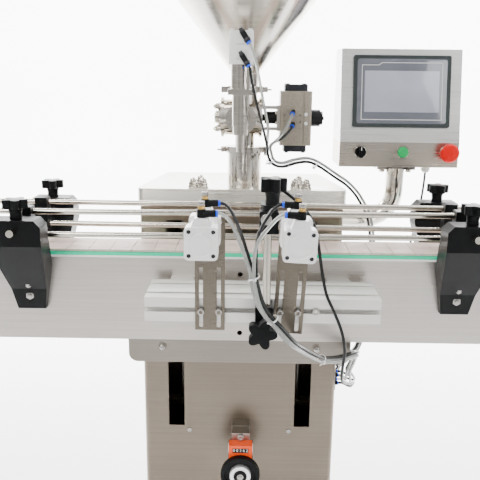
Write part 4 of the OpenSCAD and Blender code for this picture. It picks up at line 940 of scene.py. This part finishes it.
# %% Counter and handwheel
bm = bmesh.new()
block(bm, (-12.4, 76.7, -436.4), (20.4, 78.4, -425.6))
set_in_place(bm, "counter_drum", "machine", "dark", 0.2)
digits_curve = bpy.data.curves.new("digits", "FONT")
digits_curve.body = "0 0 3 6 2"
digits_curve.size = 8.5
digits_curve.align_x = "CENTER"
digits_curve.align_y = "CENTER"
digits_curve.extrude = 0.1
digits_object = bpy.data.objects.new("digits_draft", digits_curve)
bpy.context.scene.collection.objects.link(digits_object)
bpy.context.view_layer.update()
digits_mesh = bpy.data.meshes.new_from_object(
    digits_object.evaluated_get(bpy.context.evaluated_depsgraph_get()))
bpy.data.objects.remove(digits_object)
bm = bmesh.new()
bm.from_mesh(digits_mesh)
upright = Matrix.Translation((HEAD_X, 76.5, -431)) @ Matrix.Rotation(math.pi / 2, 4, "X")
bmesh.ops.transform(bm, matrix=upright, verts=bm.verts)
set_in_place(bm, "counter_digits", "machine", "white", 0)
bm = bmesh.new()
for x in (HEAD_X - 24.2, HEAD_X + 24.2):
    block(bm, (x - 0.8, 84, -470), (x + 0.8, 98, -418))
set_in_place(bm, "counter_cheeks", "machine", "rod", 0.3)

bm = bmesh.new()
wheel = place_of((HEAD_X, 74, -478), "-Y")
turned(bm, wheel, [(32, 0.4), (37.4, 0.4), (39, 2), (39, 11), (37.4, 12.8), (32.4, 12.8),
                   (31.6, 7), (32, 0.4)], 72)
turned(bm, wheel, [(14, 3.0), (33, 3.0), (33, 6.4), (14, 6.4), (14, 3.0)], 72)
RIDGES = 48
for k in range(RIDGES):
    turn = Matrix.Rotation(2 * math.pi * k / RIDGES, 4, "Z")
    block(bm, (38.4, -0.9, 2.6), (39.4, 0.9, 10.4), wheel @ turn)
set_in_place(bm, "handwheel_rim", "handwheel_body", "nylon", 0)
bm = bmesh.new()
turned(bm, wheel, [(13, 1), (21.4, 1), (21.4, 14.0), (20.4, 15.4), (13.4, 15.6), (13, 14.4),
                   (13, 1)], 56)
set_in_place(bm, "handwheel_hub", "handwheel_body", "cylinder", 0)
bm = bmesh.new()
turned(bm, wheel, [(0, 17.2), (9, 17.2), (12.6, 16.6), (13, 15), (13, 10), (0, 10)], 48)
set_in_place(bm, "handwheel_cap", "handwheel_body", "nylon", 0)
bm = bmesh.new()
drum(bm, wheel, 13, 17.0, 18.2)
drum(bm, wheel, 9, 18.2, 20.6, 8.4, sides=6)
set_in_place(bm, "handwheel_nut", "handwheel_body", "zinc", 0.3)

# %% [markdown]
# ## Sensor, actuator, feet and hopper
# The last small things: the sensor's bright barrel, the gland of the control cable, the
# actuator's plugs, screws and pointer, the rubber pads under the levelling feet, and the two
# weld beads of the hopper.

# %% Sensor
bm = bmesh.new()
turned(bm, place_of((391, 300, 106)),
       [(3.2, 0), (6.2, 0.6), (7.6, 4), (9.4, 5), (9.4, 13.9), (3.2, 13.9), (3.2, 0)], 32)
set_in_place(bm, "cable_gland", "machine", "white", 0)
bm = bmesh.new()
turned(bm, place_of((39, -162, 95), "-Y"), [(0, 0), (7.4, 0), (8.4, -0.8), (8.4, -3), (0, -3)], 40)
turned(bm, place_of((48, -97, 95), "Y"), [(0, 6), (6.4, 6), (6.8, 5), (6.8, 0), (0, 0)], 40)
set_in_place(bm, "sensor_barrel", "conveyor", "zinc", 0)

# %% [markdown]
# The sensor's post is a ground steel rod between two black clamps. A thin bright sleeve and an
# end piece cover it where it shows.

# %% Sensor post
bm = bmesh.new()
post = place_of((42, -147, 0))
turned(bm, post, [(6.15, -50), (6.15, 71), (5.4, 71), (5.4, -50), (6.15, -50)], 40)
turned(bm, post, [(0, -112.4), (5.2, -112.4), (6.15, -111.4), (6.15, -96), (0, -96)], 40)
set_in_place(bm, "sensor_post", "conveyor", "rod", 0)

# %% Actuator plugs and screws
bm = bmesh.new()
for z in (232, 215):
    turned(bm, place_of((120, 160.2, z), "-Y"),
           [(0, 1.6), (3.0, 1.5), (3.4, 0.8), (3.4, 0), (0, 0)], 24)
set_in_place(bm, "actuator_plugs", "machine", "white", 0)
bm = bmesh.new()
for x in (85, 117):
    for y in (170, 210):
        socket_screw(bm, (x, y, 287), "Z", 7, 2.2)
        socket_screw(bm, (x, y, 161), "-Z", 7, 2.2)
set_in_place(bm, "actuator_screws", "machine", "black_screw", 0.2)
bm = bmesh.new()
block(bm, (153.6, 179.4, 220.4), (156.4, 200.6, 227.6))
set_in_place(bm, "indicator_pointer", "valve_rotor_body", "white", 0.3)

# %% Feet and weld bead
bm = bmesh.new()
for x in (-205, 205):
    for y in (-25, 353):
        turned(bm, place_of((x, y, -DECK_Z)),
               [(0, 0), (29, 0), (30, 1.4), (30, 5), (28.6, 6.2), (0, 6.2)], 48)
set_in_place(bm, "foot_pads", "machine", "rubber", 0)
CONE_Z, CONE_R, HOPPER_R, CONE_SLOPE = 306, 25, 200, 0.787
bm = bmesh.new()
cone_top = CONE_Z + (HOPPER_R - CONE_R) / CONE_SLOPE
for r, z in ((CONE_R + 0.2, CONE_Z + 0.4), (HOPPER_R, cone_top)):
    turned(bm, place_of((HEAD_X, HEAD_Y, z)),
           [(r - 0.6, -2.2), (r + 0.7, -1.4), (r + 1.0, 0), (r + 0.7, 1.4), (r - 0.6, 2.2),
            (r - 0.6, -2.2)], 96)
set_in_place(bm, "hopper_welds", "machine", "spun", 0)

# %% [markdown]
# ## Studio
# A pale floor that runs back into a curved wall hides the corner. Light comes from large soft
# panels: one high on the left for form, one low on the right to open the shadows, one above
# to edge the steel, and two that brighten the wall. Bright metal mostly reflects the world,
# which is darker below and has soft dim patches, so that polished tubes show some contrast.

# %% Studio
HALF_WIDTH = 15
SWEEP = [(-6.0, 0), (4.0, 0), (4.9, 0.25), (5.5, 0.9), (5.8, 1.8), (5.8, 7.0)]
bm = bmesh.new()
verts = [bm.verts.new((-HALF_WIDTH, y, z)) for y, z in SWEEP]
edges = [bm.edges.new(pair) for pair in zip(verts, verts[1:])]
wide = bmesh.ops.extrude_edge_only(bm, edges=edges)["geom"]
bmesh.ops.translate(bm, verts=vertices_in(wide), vec=(2 * HALF_WIDTH, 0, 0))
bmesh.ops.recalc_face_normals(bm, faces=bm.faces)
studio_mesh = bpy.data.meshes.new("studio_sweep")
bm.to_mesh(studio_mesh)
bm.free()
studio = bpy.data.objects.new("studio_sweep", studio_mesh)
bpy.context.scene.collection.objects.link(studio)
studio.data.materials.append(begin("studio_paper", (0.90, 0.90, 0.90), 0.0, 0.9)[0])


def soft_light(name, place, target, size, power):
    data = bpy.data.lights.new(name, "AREA")
    data.shape = "RECTANGLE"
    data.size, data.size_y = size
    data.energy = power
    light = bpy.data.objects.new(name, data)
    bpy.context.scene.collection.objects.link(light)
    light.location = place
    light.rotation_euler = (Vector(target) - Vector(place)).to_track_quat("-Z", "Y").to_euler()


soft_light("key", (-1.5, -2.3, 3.0), (0, 0, 0.95), (1.6, 1.2), 100)
soft_light("fill", (2.4, -1.8, 1.9), (0, 0, 0.95), (1.2, 1.8), 30)
soft_light("top", (0.2, 0.6, 3.6), (0, 0.0, 0.9), (2.6, 1.4), 60)
soft_light("wall_left", (-2.6, 2.4, 3.4), (-1.2, 5.6, 0.6), (2.4, 1.8), 1300)
soft_light("wall_right", (2.6, 2.4, 3.4), (1.2, 5.6, 0.6), (2.4, 1.8), 1300)
world = bpy.data.worlds.new("glow")
bpy.context.scene.world = world
world.use_nodes = True
DIM, BRIGHT = 0.72, 1.12
direction = lay(world, "ShaderNodeTexCoord").outputs["Generated"]
height = lay(world, "ShaderNodeSeparateXYZ", {0: direction}).outputs[2]
glow = tint(world, height, (0.50, 0.49, 0.475), (1.0, 1.0, 1.0), 0.0, 0.6)
tall = lay(world, "ShaderNodeMapping", {"Vector": direction, "Scale": (3.2, 3.2, 0.7)}).outputs[0]
patches = lay(world, "ShaderNodeTexNoise", {"Vector": tall, "Scale": 1.3, "Detail": 1.0}).outputs[0]
background = world.node_tree.nodes["Background"]
join(world, glow, background, "Color")
join(world, between(world, patches, DIM, BRIGHT, 0.38, 0.62), background, "Strength")
